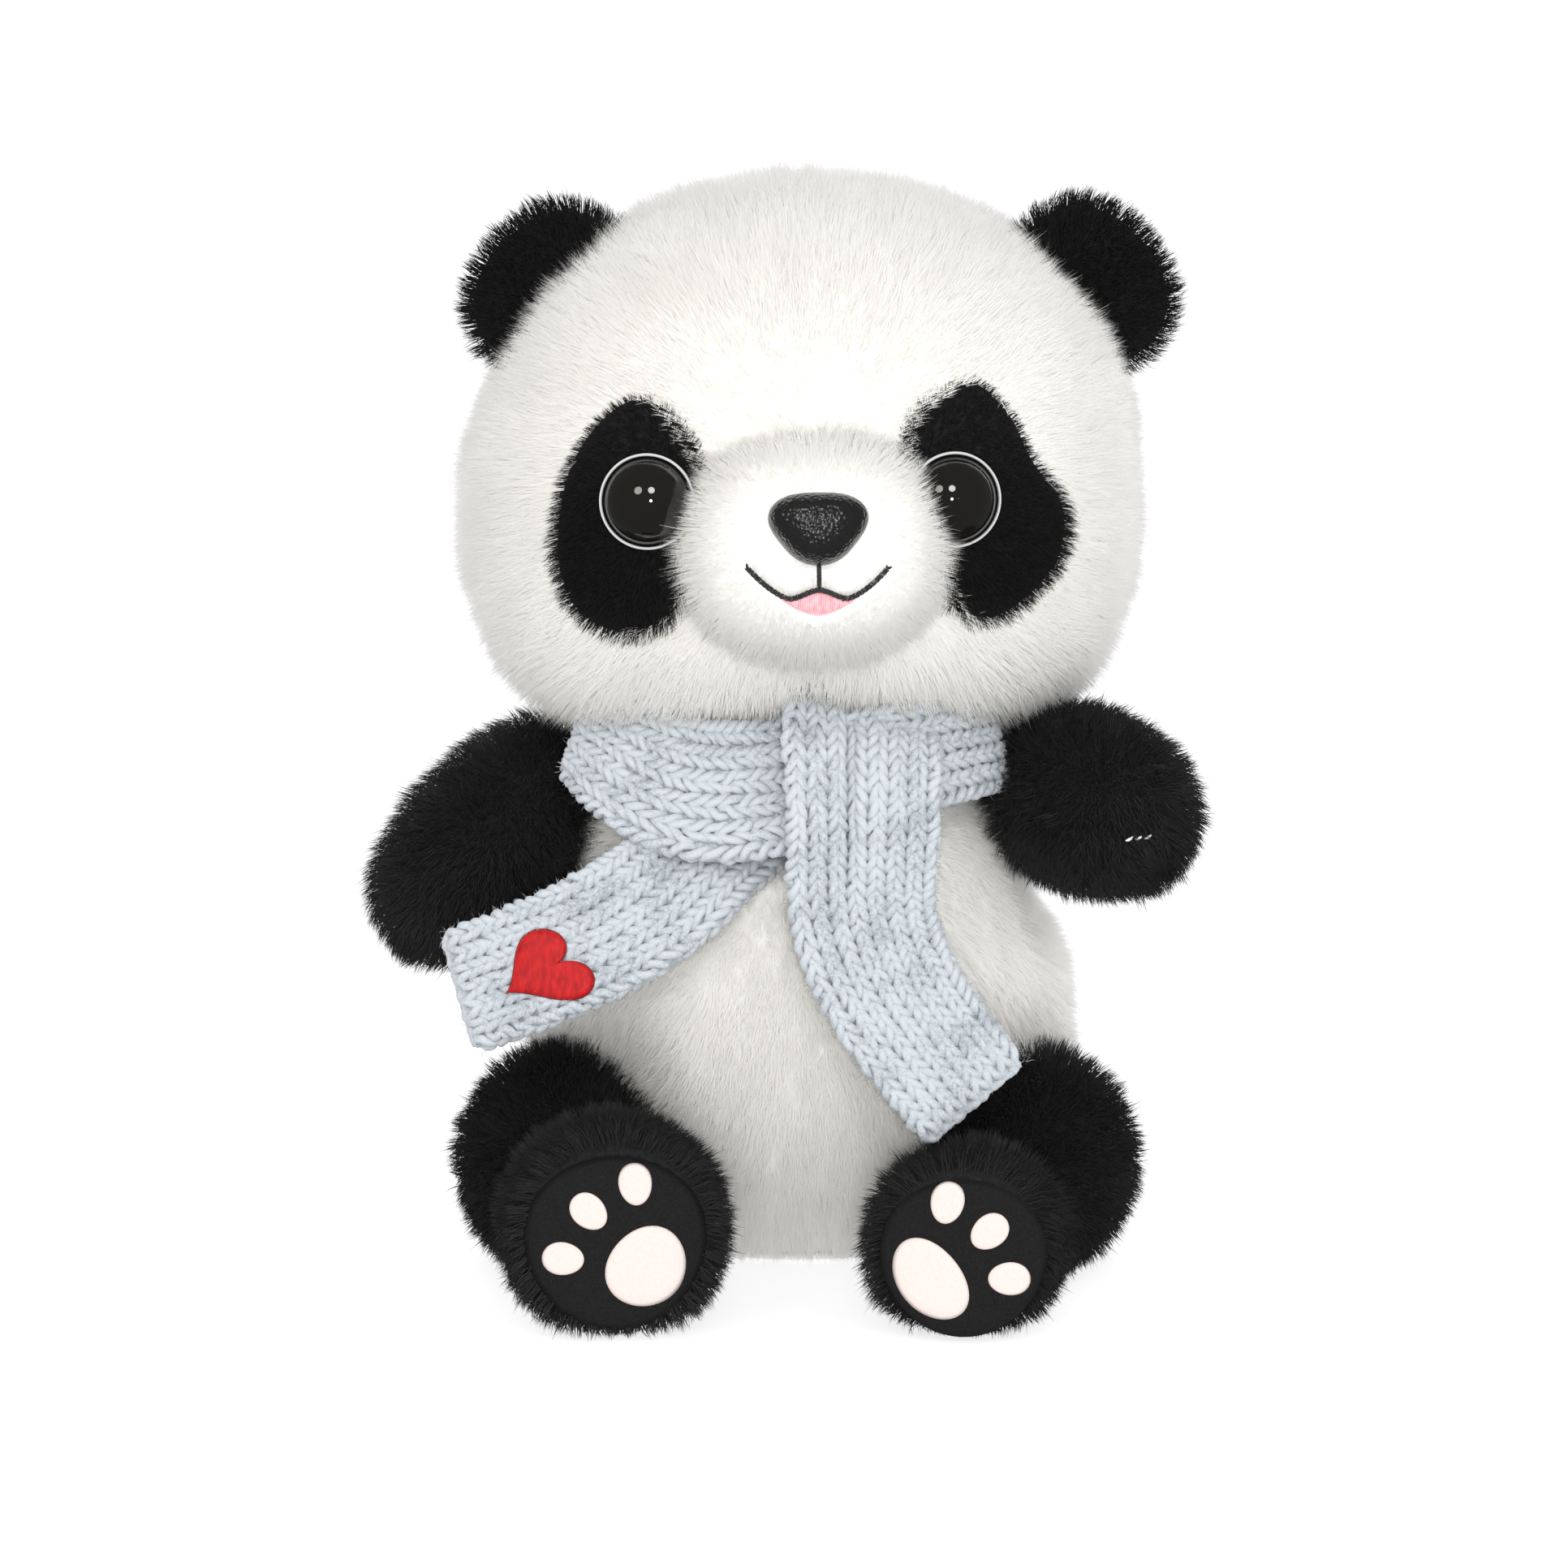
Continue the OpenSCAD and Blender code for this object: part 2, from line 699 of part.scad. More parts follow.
// Knitted strip along a curve, narrowing from one half width to the other
module strip(curve, half_start, half_end, stations) {
    edge = [[-1, 1], [-0.5, 1], [0, 1], [0.5, 1], [1, 1], [1, -1], [0.5, -1], [0, -1], [-0.5, -1], [-1, -1]];
    loft([for (i = [0 : stations]) let (
        t = i / stations, frame = strip_frame(curve, t), half = mix(half_start, half_end, t))
        [for (q = edge) bezier(curve, t) + frame[0] * half * q.x + frame[2] * scarf_thick / 2 * q.y]]);
}

long_end_curve = [[15, -63, 110.4], [15, -65, 97], [14, -69, 82], [40, -72, 66]];
heart_end_curve = [[-27, -60, 109], [-38, -66, 94], [-60, -66, 86], [-84, -60, 76]];
knot_curve = [[14, -50, 137], [15, -57, 134], [15, -63, 126], [15, -62.6, 112]];

module scarf_knot() {
    color(knit) strip(knot_curve, scarf_w / 2, scarf_w / 2, 8);
}

module scarf_long_end() {
    color(knit) strip(long_end_curve, scarf_w / 2, scarf_w * 0.41, 14);
}

module scarf_heart_end() {
    color(knit) strip(heart_end_curve, scarf_w * 0.42, scarf_w * 0.36, 14);
}

// Embroidered heart near the short end's tip
heart_t = 0.72;
heart_size = 0.62;
heart_lift = 0.55;
heart_turn = 200;

module heart_patch() {
    f = strip_frame(heart_end_curve, heart_t);
    p = bezier(heart_end_curve, heart_t) + f[2] * (scarf_thick / 2 + heart_lift);
    color([0.86, 0.16, 0.15]) multmatrix([
        [f[0].x, f[1].x, f[2].x, p.x], [f[0].y, f[1].y, f[2].y, p.y], [f[0].z, f[1].z, f[2].z, p.z]])
        rotate([0, 0, heart_turn]) linear_extrude(0.7) polygon([for (a = [0 : 12 : 348])
            heart_size * [16 * pow(sin(a), 3),
                13 * cos(a) - 5 * cos(2 * a) - 2 * cos(3 * a) - cos(4 * a)]]);
}

// ---- The assembly ----

torso_front_skin();
torso_back_skin();
torso_stuffing();
bean_bag();
seat_panel();
scarf_loop();
scarf_knot();
scarf_long_end();
scarf_heart_end();
heart_patch();
neck_wad();
head_front_skin();
head_back_skin();
head_stuffing();
muzzle_skin();
muzzle_stuffing();
eye_patch(left);  // eye_patch_left
eye_patch(right);  // eye_patch_right
eye_dome(left);  // eye_dome_left
eye_dome(right);  // eye_dome_right
eye_ring(left);  // eye_ring_left
eye_ring(right);  // eye_ring_right
eye_washer(left);  // eye_washer_left
eye_washer(right);  // eye_washer_right
nose();
nose_washer();
mouth_stitching();
tongue_patch();
ear_front_skin(left);  // ear_front_skin_left
ear_front_skin(right);  // ear_front_skin_right
ear_back_skin(left);  // ear_back_skin_left
ear_back_skin(right);  // ear_back_skin_right
ear_batting(left);  // ear_batting_left
ear_batting(right);  // ear_batting_right
arm_inner_skin(left);  // arm_inner_skin_left
arm_inner_skin(right);  // arm_inner_skin_right
arm_outer_skin(left);  // arm_outer_skin_left
arm_outer_skin(right);  // arm_outer_skin_right
arm_stuffing(left);  // arm_stuffing_left
arm_stuffing(right);  // arm_stuffing_right
paw_stitches();
leg_skin(left);  // leg_skin_left
leg_skin(right);  // leg_skin_right
leg_stuffing(left);  // leg_stuffing_left
leg_stuffing(right);  // leg_stuffing_right
sole_disc(left);  // sole_disc_left
sole_disc(right);  // sole_disc_right
heel_pad(left);  // heel_pad_left
heel_pad(right);  // heel_pad_right
toe_pads(left);  // toe_pads_left
toe_pads(right);  // toe_pads_right
tail_skin();
tail_stuffing();
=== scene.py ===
# Looks of a sitting plush panda with a knitted scarf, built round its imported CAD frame.
# Lengths are millimetres, as in part.scad, until mesh_piece() turns them into metres.
# The panda faces -Y, +Z is up, and its own left side is +X.
import math

import bpy
import numpy as np
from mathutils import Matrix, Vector, kdtree, noise


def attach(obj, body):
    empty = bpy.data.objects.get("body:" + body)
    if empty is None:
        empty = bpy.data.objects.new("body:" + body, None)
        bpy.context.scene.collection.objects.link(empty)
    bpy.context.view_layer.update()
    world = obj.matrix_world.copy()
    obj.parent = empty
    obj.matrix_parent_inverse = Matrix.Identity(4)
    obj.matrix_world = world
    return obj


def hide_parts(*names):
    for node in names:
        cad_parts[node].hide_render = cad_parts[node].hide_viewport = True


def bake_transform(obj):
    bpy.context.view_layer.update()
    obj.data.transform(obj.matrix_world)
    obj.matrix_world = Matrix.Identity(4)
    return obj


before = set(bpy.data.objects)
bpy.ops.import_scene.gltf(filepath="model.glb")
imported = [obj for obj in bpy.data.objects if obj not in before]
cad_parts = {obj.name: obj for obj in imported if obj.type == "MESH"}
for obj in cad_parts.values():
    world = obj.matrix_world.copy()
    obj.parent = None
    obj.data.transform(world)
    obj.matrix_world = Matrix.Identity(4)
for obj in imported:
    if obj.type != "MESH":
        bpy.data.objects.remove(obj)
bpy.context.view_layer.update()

MM = 0.001
LEFT, RIGHT = 1, -1
SIDES = {"left": LEFT, "right": RIGHT}
Y_AXIS, Z_AXIS = np.eye(3)[1:]


# ---- Numbers and vectors ----

def unit(v):
    v = np.asarray(v, float)
    return v / np.maximum(np.linalg.norm(v, axis=-1, keepdims=True), 1e-9)


def power(s, e):
    return np.sign(s) * np.abs(s) ** e


def mix(a, b, t):
    return a + (b - a) * t


def smooth(t):
    t = np.clip(t, 0, 1)
    return t * t * (3 - 2 * t)


def soft_max(a, b, k):
    """The larger of a and b, with the corner between them rounded over about k."""
    return 0.5 * (a + b + np.sqrt((a - b) ** 2 + k * k))


def hump(x, middle, width):
    return np.exp(-((x - middle) / width) ** 2)


def dots(a, b):
    return np.sum(a * b, axis=-1)


def columns_of(*parts):
    return np.stack(np.broadcast_arrays(*parts), axis=-1)


def turned_z(p, degrees):
    c, s = math.cos(math.radians(degrees)), math.sin(math.radians(degrees))
    return np.asarray(p) @ np.array([[c, s, 0], [-s, c, 0], [0, 0, 1]])


def mirrored(p, side):
    return np.asarray(p, float) * [side, 1, 1]


def bezier(points, t):
    a, b, c, d = np.asarray(points, float)
    t = np.asarray(t, float)[..., None]
    return (1 - t) ** 3 * a + 3 * t * (1 - t) ** 2 * b + 3 * t * t * (1 - t) * c + t ** 3 * d


def catmull(points, samples, closed):
    """Smooth curve through points: (count, 3) to (count * samples, 3)."""
    before = np.roll(points, 1, 0) if closed else np.concatenate([points[:1], points[:-1]])
    after = np.roll(points, -1, 0) if closed else np.concatenate([points[1:], points[-1:]])
    beyond = np.roll(points, -2, 0) if closed else np.concatenate([points[2:], points[-1:], points[-1:]])
    t = (np.arange(samples) / samples)[None, :, None]
    p0, p1, p2, p3 = (q[:, None] for q in (before, points, after, beyond))
    curve = 0.5 * (2 * p1 + (p2 - p0) * t + (2 * p0 - 5 * p1 + 4 * p2 - p3) * t ** 2
                   + (3 * p1 - p0 - 3 * p2 + p3) * t ** 3)
    return curve.reshape(-1, points.shape[-1])


def pressed(p, normal, reach):
    """What lies past the plane normal * p = reach is pressed flat onto it."""
    return p - np.maximum(0, p @ normal - reach)[..., None] * normal


def waviness(points, scale, seed):
    """Smooth noise vectors at points; scale is the size of a wave."""
    shift = Vector((seed * 13.7, seed * 7.1, seed * 3.3))
    return np.array([noise.noise_vector(Vector(p) / scale + shift) for p in points])


# ---- Meshes ----

def mesh_piece(name, points, faces, material, body=None, normals=None):
    """A smooth mesh object. faces is a list of index arrays, one array for each count of corners."""
    mesh = bpy.data.meshes.new(name)
    faces = [np.asarray(f, np.int32) for f in faces if len(f)]
    mesh.vertices.add(len(points))
    mesh.vertices.foreach_set("co", (np.asarray(points) * MM).astype(np.float32).ravel())
    sizes = np.concatenate([np.full(len(f), f.shape[1]) for f in faces])
    mesh.loops.add(int(sizes.sum()))
    mesh.loops.foreach_set("vertex_index", np.concatenate([f.ravel() for f in faces]))
    mesh.polygons.add(len(sizes))
    mesh.polygons.foreach_set("loop_start", (np.cumsum(sizes) - sizes).astype(np.int32))
    mesh.update(calc_edges=True)
    mesh.shade_smooth()
    if normals is not None:
        attribute = mesh.attributes.new("custom_normal", "FLOAT_VECTOR", "POINT")
        attribute.data.foreach_set("vector", normals.astype(np.float32).ravel())
    mesh.materials.append(material)
    piece = bpy.data.objects.new(name, mesh)
    bpy.context.scene.collection.objects.link(piece)
    if body:
        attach(piece, body)
    return piece


def point_normals(points, triangles):
    a, b, c = points[triangles[:, 0]], points[triangles[:, 1]], points[triangles[:, 2]]
    across = np.cross(b - a, c - a)
    total = np.zeros_like(points)
    for corner in range(3):
        np.add.at(total, triangles[:, corner], across)
    return unit(total)


def ring_quads(columns, rings, start=0, closed=True):
    """Quads between rings of points.

    They face outwards where the rings turn anticlockwise as they advance.
    """
    steps = columns if closed else columns - 1
    ring, column = np.meshgrid(np.arange(rings - 1), np.arange(steps), indexing="ij")
    a = start + ring.ravel() * columns + column.ravel()
    b = start + ring.ravel() * columns + (column.ravel() + 1) % columns
    return np.stack([a, b, b + columns, a + columns], axis=1)


def fan(columns, first, pole, flip=False):
    a = first + np.arange(columns)
    b = first + (np.arange(columns) + 1) % columns
    return np.stack([b, a, np.full(columns, pole)] if flip else [a, b, np.full(columns, pole)], axis=1)


def lids(columns, last):
    """Flat ends for a tube: one many-sided face on its first ring and one on its last."""
    return np.stack([np.arange(columns)[::-1], last + np.arange(columns)])


class Form:
    """A closed rounded form. place(direction, inset) gives its points, on rings round its front."""

    def __init__(self, place, columns=72, rows=22):
        self.place, self.columns, self.rows = place, columns, rows
        rise = np.radians(np.linspace(-90, 90, 2 * rows + 1)[1:-1])
        turn = np.radians(np.arange(columns) * 360 / columns)
        rise, turn = np.repeat(rise, columns), np.tile(turn, 2 * rows - 1)
        ring = columns_of(np.cos(rise) * np.cos(turn), -np.sin(rise), np.cos(rise) * np.sin(turn))
        self.directions = np.concatenate([ring, [[0, 1, 0], [0, -1, 0]]])
        self.points = place(self.directions, 0)
        count = len(ring)
        self.quads = ring_quads(columns, 2 * rows - 1)
        self.back_fan = fan(columns, 0, count, flip=True)
        self.front_fan = fan(columns, count - columns, count + 1)
        self.triangles = np.concatenate([self.quads[:, [0, 1, 2]], self.quads[:, [0, 2, 3]],
                                         self.back_fan, self.front_fan])
        self.normals = point_normals(self.points, self.triangles)
        self.in_front = self.directions[self.triangles].mean(1)[:, 1] < 0

    def panel(self, part):
        """The outer triangles of a panel: front, back or all."""
        if part == "all":
            return self.triangles
        return self.triangles[self.in_front == (part == "front")]

    def whole(self, name, material, body):
        return mesh_piece(name, self.points, [self.quads, self.back_fan, self.front_fan], material, body)

    def half(self, name, part, thick, material, body):
        """One sewn panel as a shell of its own, from the side seam to the middle."""
        columns, rings = self.columns, self.rows
        seam = (self.rows - 1) * columns
        if part == "front":
            ring = np.arange(seam, (2 * self.rows - 1) * columns)
            pole = len(self.points) - 1
        else:
            ring = np.arange(0, seam + columns).reshape(rings, columns)[::-1].ravel()
            pole = len(self.points) - 2
        pick = np.append(ring, pole)
        inner = self.place(self.directions[pick], thick)
        points = np.concatenate([self.points[pick], inner])
        count = len(pick)
        outer_quads, inner_quads = ring_quads(columns, rings), ring_quads(columns, rings, count)[:, ::-1]
        outer_fan = fan(columns, count - 1 - columns, count - 1)
        inner_fan = fan(columns, 2 * count - 1 - columns, 2 * count - 1, flip=True)
        a, b = np.arange(columns), (np.arange(columns) + 1) % columns
        rim = np.stack([b, a, a + count, b + count], axis=1)
        quads = np.concatenate([outer_quads, inner_quads, rim])
        fans = np.concatenate([outer_fan, inner_fan])
        if part == "back":
            quads, fans = quads[:, ::-1], fans[:, ::-1]
        return mesh_piece(name, points, [quads, fans], material, body)


def tube_rings(path, radius, sides, start=Z_AXIS):
    """Rings of points round a path, carried along it without turning.

    path is (stations, 3) or (stations, many, 3).
    """
    path = np.asarray(path, float)
    single = path.ndim == 2
    if single:
        path = path[:, None]
    ahead = np.concatenate([path[1:], path[-1:]]) - np.concatenate([path[:1], path[:-1]])
    ahead = unit(ahead)
    side = unit(np.cross(ahead[0], np.broadcast_to(start, ahead[0].shape)))
    angle = np.arange(sides) * 2 * math.pi / sides
    radius = np.broadcast_to(np.asarray(radius, float).reshape(-1, 1, 1), (len(path), path.shape[1], 1))
    rings = []
    for station in range(len(path)):
        side = unit(side - dots(side, ahead[station])[:, None] * ahead[station])
        up = np.cross(ahead[station], side)
        round_part = (np.cos(angle)[:, None] * side[:, None, :] + np.sin(angle)[:, None] * up[:, None, :])
        rings.append(path[station][:, None] + round_part * radius[station][:, None])
    rings = np.stack(rings)
    return rings[:, 0] if single else rings


def tube_mesh(rings):
    """Points and faces of one closed tube from its rings (stations, sides, 3)."""
    stations, sides = rings.shape[:2]
    return rings.reshape(-1, 3), ring_quads(sides, stations), lids(sides, (stations - 1) * sides)


def joined(parts):
    """Several (points, quads, others) as one: point array and a list of face arrays by size."""
    points, by_size, start = [], {}, 0
    for part in parts:
        for faces in part[1:]:
            if len(faces):
                by_size.setdefault(faces.shape[1], []).append(np.asarray(faces) + start)
        points.append(part[0])
        start += len(part[0])
    return np.concatenate(points), [np.concatenate(f) for f in by_size.values()]


# ---- Materials ----

def new_material(name, colour, roughness, **sockets):
    """A Principled material. Returns it with its node tree, shader and texture coordinates."""
    material = bpy.data.materials.new(name)
    material.use_nodes = True
    tree = material.node_tree
    shader = tree.nodes["Principled BSDF"]
    shader.inputs["Base Color"].default_value = (*colour, 1)
    shader.inputs["Roughness"].default_value = roughness
    for socket, value in sockets.items():
        shader.inputs[socket.replace("_", " ")].default_value = value
    coordinates = tree.nodes.new("ShaderNodeTexCoord")
    return material, tree, shader, coordinates


def noise_node(tree, coordinates, scale, detail=4.0, stretch=None):
    texture = tree.nodes.new("ShaderNodeTexNoise")
    texture.inputs["Scale"].default_value = scale
    texture.inputs["Detail"].default_value = detail
    source = coordinates.outputs["Object"]
    if stretch:
        mapping = tree.nodes.new("ShaderNodeMapping")
        mapping.inputs["Scale"].default_value = stretch
        tree.links.new(source, mapping.inputs["Vector"])
        source = mapping.outputs["Vector"]
    tree.links.new(source, texture.inputs["Vector"])
    return texture


def colour_ramp(tree, source, dark, light, low=0.3, high=0.7):
    ramp = tree.nodes.new("ShaderNodeValToRGB")
    ramp.color_ramp.elements[0].position, ramp.color_ramp.elements[1].position = low, high
    ramp.color_ramp.elements[0].color, ramp.color_ramp.elements[1].color = (*dark, 1), (*light, 1)
    tree.links.new(source, ramp.inputs["Fac"])
    return ramp.outputs["Color"]


def value_range(tree, source, low, high):
    spread = tree.nodes.new("ShaderNodeMapRange")
    spread.inputs["To Min"].default_value, spread.inputs["To Max"].default_value = low, high
    tree.links.new(source, spread.inputs["Value"])
    return spread.outputs["Result"]


def bump(tree, shader, height, strength, distance):
    node = tree.nodes.new("ShaderNodeBump")
    node.inputs["Strength"].default_value = strength
    node.inputs["Distance"].default_value = distance
    tree.links.new(height, node.inputs["Height"])
    tree.links.new(node.outputs["Normal"], shader.inputs["Normal"])


def pile_material(name, colour, roughness, sheen, tint, specular):
    """Fur strands: gloss varies from tuft to tuft."""
    material, tree, shader, where = new_material(
        name, colour, roughness, Sheen_Weight=sheen, Sheen_Roughness=0.45, Specular_IOR_Level=specular)
    shader.inputs["Sheen Tint"].default_value = (*tint, 1)
    tufts = noise_node(tree, where, 260, 3)
    tree.links.new(value_range(tree, tufts.outputs["Fac"], roughness - 0.1, roughness + 0.1),
                   shader.inputs["Roughness"])
    return material


def nap_material(name, dark, light, roughness, sheen, scale, depth, specular=0.2):
    """Short-nap cloth, felt and loose fibre: fine mottled colour and a matching bump."""
    material, tree, shader, where = new_material(
        name, light, roughness, Sheen_Weight=sheen, Specular_IOR_Level=specular)
    fine = noise_node(tree, where, scale, 5)
    tree.links.new(colour_ramp(tree, fine.outputs["Fac"], dark, light), shader.inputs["Base Color"])
    bump(tree, shader, fine.outputs["Fac"], 0.6, depth)
    return material


def yarn_material():
    """Soft acrylic yarn: streaky fibres along the yarn, a little fuzz, and matt."""
    material, tree, shader, where = new_material(
        "yarn", (0.5, 0.56, 0.62), 0.85, Sheen_Weight=0.2, Sheen_Roughness=0.5, Specular_IOR_Level=0.2)
    fibres = noise_node(tree, where, 1500, 4)
    patches = noise_node(tree, where, 90, 2)
    both = tree.nodes.new("ShaderNodeMath")
    both.operation = "ADD"
    tree.links.new(fibres.outputs["Fac"], both.inputs[0])
    tree.links.new(patches.outputs["Fac"], both.inputs[1])
    dark_yarn, pale_yarn = (0.265, 0.295, 0.32), (0.45, 0.485, 0.515)
    tree.links.new(colour_ramp(tree, both.outputs[0], dark_yarn, pale_yarn, 0.6, 1.05),
                   shader.inputs["Base Color"])
    bump(tree, shader, fibres.outputs["Fac"], 0.5, 0.0004)
    return material


def leather_plastic():
    """Moulded nose with a pebbled leather grain."""
    material, tree, shader, where = new_material("leather_grain", (0.009, 0.009, 0.009), 0.3,
                                                 Specular_IOR_Level=0.7)
    cells = tree.nodes.new("ShaderNodeTexVoronoi")
    cells.inputs["Scale"].default_value = 1100
    tree.links.new(where.outputs["Object"], cells.inputs["Vector"])
    worn = noise_node(tree, where, 300, 3)
    tree.links.new(value_range(tree, worn.outputs["Fac"], 0.16, 0.34), shader.inputs["Roughness"])
    bump(tree, shader, cells.outputs["Distance"], 0.8, 0.0003)
    return material


def polished_plastic(name, colour, roughness, coat):
    material, tree, shader, where = new_material(name, colour, roughness, Coat_Weight=coat,
                                                 Coat_Roughness=0.03)
    scuffs = noise_node(tree, where, 400, 4)
    tree.links.new(value_range(tree, scuffs.outputs["Fac"], roughness * 0.7, roughness * 1.5),
                   shader.inputs["Roughness"])
    return material


def satin_material(name, dark, light, stretch, sheen=0.3):
    """Embroidery thread: shiny, with fine streaks along the stitches."""
    material, tree, shader, where = new_material(
        name, light, 0.42, Sheen_Weight=sheen, Anisotropic=0.4, Specular_IOR_Level=0.2)
    streaks = noise_node(tree, where, 900, 3, stretch)
    tree.links.new(colour_ramp(tree, streaks.outputs["Fac"], dark, light), shader.inputs["Base Color"])
    bump(tree, shader, streaks.outputs["Fac"], 0.4, 0.0002)
    return material


WHITE_FUR = pile_material("white_pile", (0.955, 0.94, 0.895), 0.9, 0.3, (1, 1, 1), 0.05)
BLACK_FUR = pile_material("black_pile", (0.016, 0.0155, 0.016), 0.45, 0.06, (0.5, 0.5, 0.52), 0.5)
DARK_FUR = pile_material("dark_pile", (0.008, 0.008, 0.008), 0.5, 0.02, (0.5, 0.5, 0.52), 0.3)
WHITE_BACKING = nap_material("white_backing", (0.9, 0.89, 0.86), (0.95, 0.945, 0.92),
                             0.95, 0.2, 900, 0.0003)
BLACK_BACKING = nap_material("black_backing", (0.006, 0.006, 0.006), (0.014, 0.014, 0.014),
                             0.9, 0.05, 900, 0.0003)
VELOUR = nap_material("black_velour", (0.007, 0.007, 0.007), (0.014, 0.014, 0.014),
                      0.95, 0.01, 2600, 0.0001, 0.1)
PAD_VELOUR = nap_material("pink_velour", (0.58, 0.50, 0.47), (0.66, 0.57, 0.54),
                          0.95, 0.1, 2600, 0.0001, 0.1)
FIBRE = nap_material("loose_fibre", (0.7, 0.7, 0.67), (0.88, 0.88, 0.86), 0.95, 0.3, 500, 0.0006)
POUCH = nap_material("woven_pouch", (0.55, 0.52, 0.45), (0.75, 0.72, 0.66), 0.9, 0.1, 1200, 0.0003)
YARN = yarn_material()
NOSE_PLASTIC = leather_plastic()
EYE_GLOSS = polished_plastic("eye_gloss", (0.006, 0.0055, 0.005), 0.05, 1.0)
EYE_RIM = polished_plastic("eye_rim", (0.52, 0.52, 0.52), 0.3, 0.3)
WASHER = polished_plastic("washer_plastic", (0.8, 0.8, 0.78), 0.4, 0.0)
RED_SATIN = satin_material("red_satin", (0.28, 0.004, 0.006), (0.46, 0.009, 0.01), (1, 1, 0.15), 0.0)
PINK_SATIN = satin_material("pink_satin", (0.85, 0.3, 0.34), (0.98, 0.5, 0.54), (1, 1, 0.1))
BLACK_THREAD = satin_material("black_thread", (0.006, 0.006, 0.006), (0.03, 0.03, 0.03), (1, 1, 1))
WHITE_THREAD = satin_material("white_thread", (0.7, 0.7, 0.7), (0.9, 0.9, 0.9), (1, 1, 1))


# ---- Fur ----

class Pile:
    """A kind of pile. Lengths are millimetres, density is strands to the square millimetre."""

    def __init__(self, material, slot, density, length, width, height,
                 tuft, gather, stray, wave, follow, bent):
        self.material, self.slot, self.density, self.length = material, slot, density, length
        self.width, self.height, self.tuft, self.gather = width, height, tuft, gather
        self.stray, self.wave, self.follow, self.bent = stray, wave, follow, bent


# height: share of the length that a strand stands up; tuft: strands to a tuft;
# gather: how far they close up; stray: random lean; wave: lean shared by neighbours;
# follow: how far the shading follows the cloth below and not the single strand;
# bent: strands with a bend, which take more faces than straight ones
LONG_WHITE = Pile(WHITE_FUR, "white_fur", 3.6, 7.8, 0.25, 0.78, 9, 0.36, 0.34, 0.62, 0.7, False)
SHORT_WHITE = Pile(WHITE_FUR, "white_fur", 4.4, 4.8, 0.23, 0.82, 7, 0.28, 0.3, 0.5, 0.76, False)
LONG_BLACK = Pile(BLACK_FUR, "black_fur", 2.1, 8.0, 0.3, 0.84, 13, 0.5, 0.3, 0.75, 0.2, True)
SHORT_BLACK = Pile(DARK_FUR, "black_fur", 3.4, 4.6, 0.25, 0.86, 6, 0.35, 0.36, 0.5, 0.25, True)
EAR_BLACK = Pile(DARK_FUR, "black_fur", 2.8, 6.0, 0.26, 0.9, 12, 0.55, 0.34, 0.7, 0.25, True)
STRANDS_A_PIECE = {True: 19000, False: 45000}
TABLE_CLEARANCE = 0.2


def scatter(form, triangles, density, rng):
    """Random even points on a form's triangles, with the form's normals there."""
    corners = form.points[triangles]
    doubled = np.cross(corners[:, 1] - corners[:, 0], corners[:, 2] - corners[:, 0])
    area = np.linalg.norm(doubled, axis=1) / 2
    count = int(area.sum() * density)
    level = (np.arange(count) + rng.random(count)) / count
    which = np.searchsorted(np.cumsum(area) / area.sum(), level).clip(0, len(area) - 1)
    a, b = np.sqrt(rng.random(count)), rng.random(count)
    weights = np.stack([1 - a, a * (1 - b), a * b], axis=1)[..., None]
    roots = (corners[which] * weights).sum(1)
    normals = unit((form.normals[triangles[which]] * weights).sum(1))
    return roots, normals


def tuft_leaders(roots, per_tuft, rng):
    """For each root the index of the root that leads its tuft."""
    leaders = rng.choice(len(roots), max(1, len(roots) // per_tuft), replace=False)
    tree = kdtree.KDTree(len(leaders))
    for place, leader in enumerate(leaders):
        tree.insert(roots[leader], place)
    tree.balance()
    return leaders[[tree.find(root)[1] for root in roots]]


def strand_mesh(roots, middles, tips, normals, width, follow, rng, bent=True):
    """Three-sided spikes, wider than thick, bent once in the middle or straight."""
    along = unit(tips - roots)
    side = unit(np.cross(along, normals))
    up = np.cross(along, side)
    angle = np.radians([0, 120, 240])[None, :, None] + rng.random(len(roots))[:, None, None] * 0.8
    round_part = np.cos(angle) * side[:, None] + 0.55 * np.sin(angle) * up[:, None]
    thick = (width / 2)[:, None, None]
    base = roots[:, None] + round_part * thick
    if bent:
        bend = middles[:, None] + round_part * thick * 0.8
        points = np.concatenate([base, bend, tips[:, None]], axis=1)
        shade = np.concatenate([round_part, round_part, up[:, None]], axis=1)
        quads = [[0, 1, 4, 3], [1, 2, 5, 4], [2, 0, 3, 5]]
        triangles = [[3, 4, 6], [4, 5, 6], [5, 3, 6], [2, 1, 0]]
    else:
        points = np.concatenate([base, tips[:, None]], axis=1)
        shade = np.concatenate([round_part, up[:, None]], axis=1)
        quads, triangles = [], [[0, 1, 3], [1, 2, 3], [2, 0, 3], [2, 1, 0]]
    shade = unit(unit(shade) * (1 - follow) + normals[:, None] * follow)
    start = (np.arange(len(roots)) * points.shape[1])[:, None, None]
    faces = [(np.array(f) + start).reshape(-1, len(f[0])) for f in (quads, triangles) if f]
    return points.reshape(-1, 3), faces, shade.reshape(-1, 3)


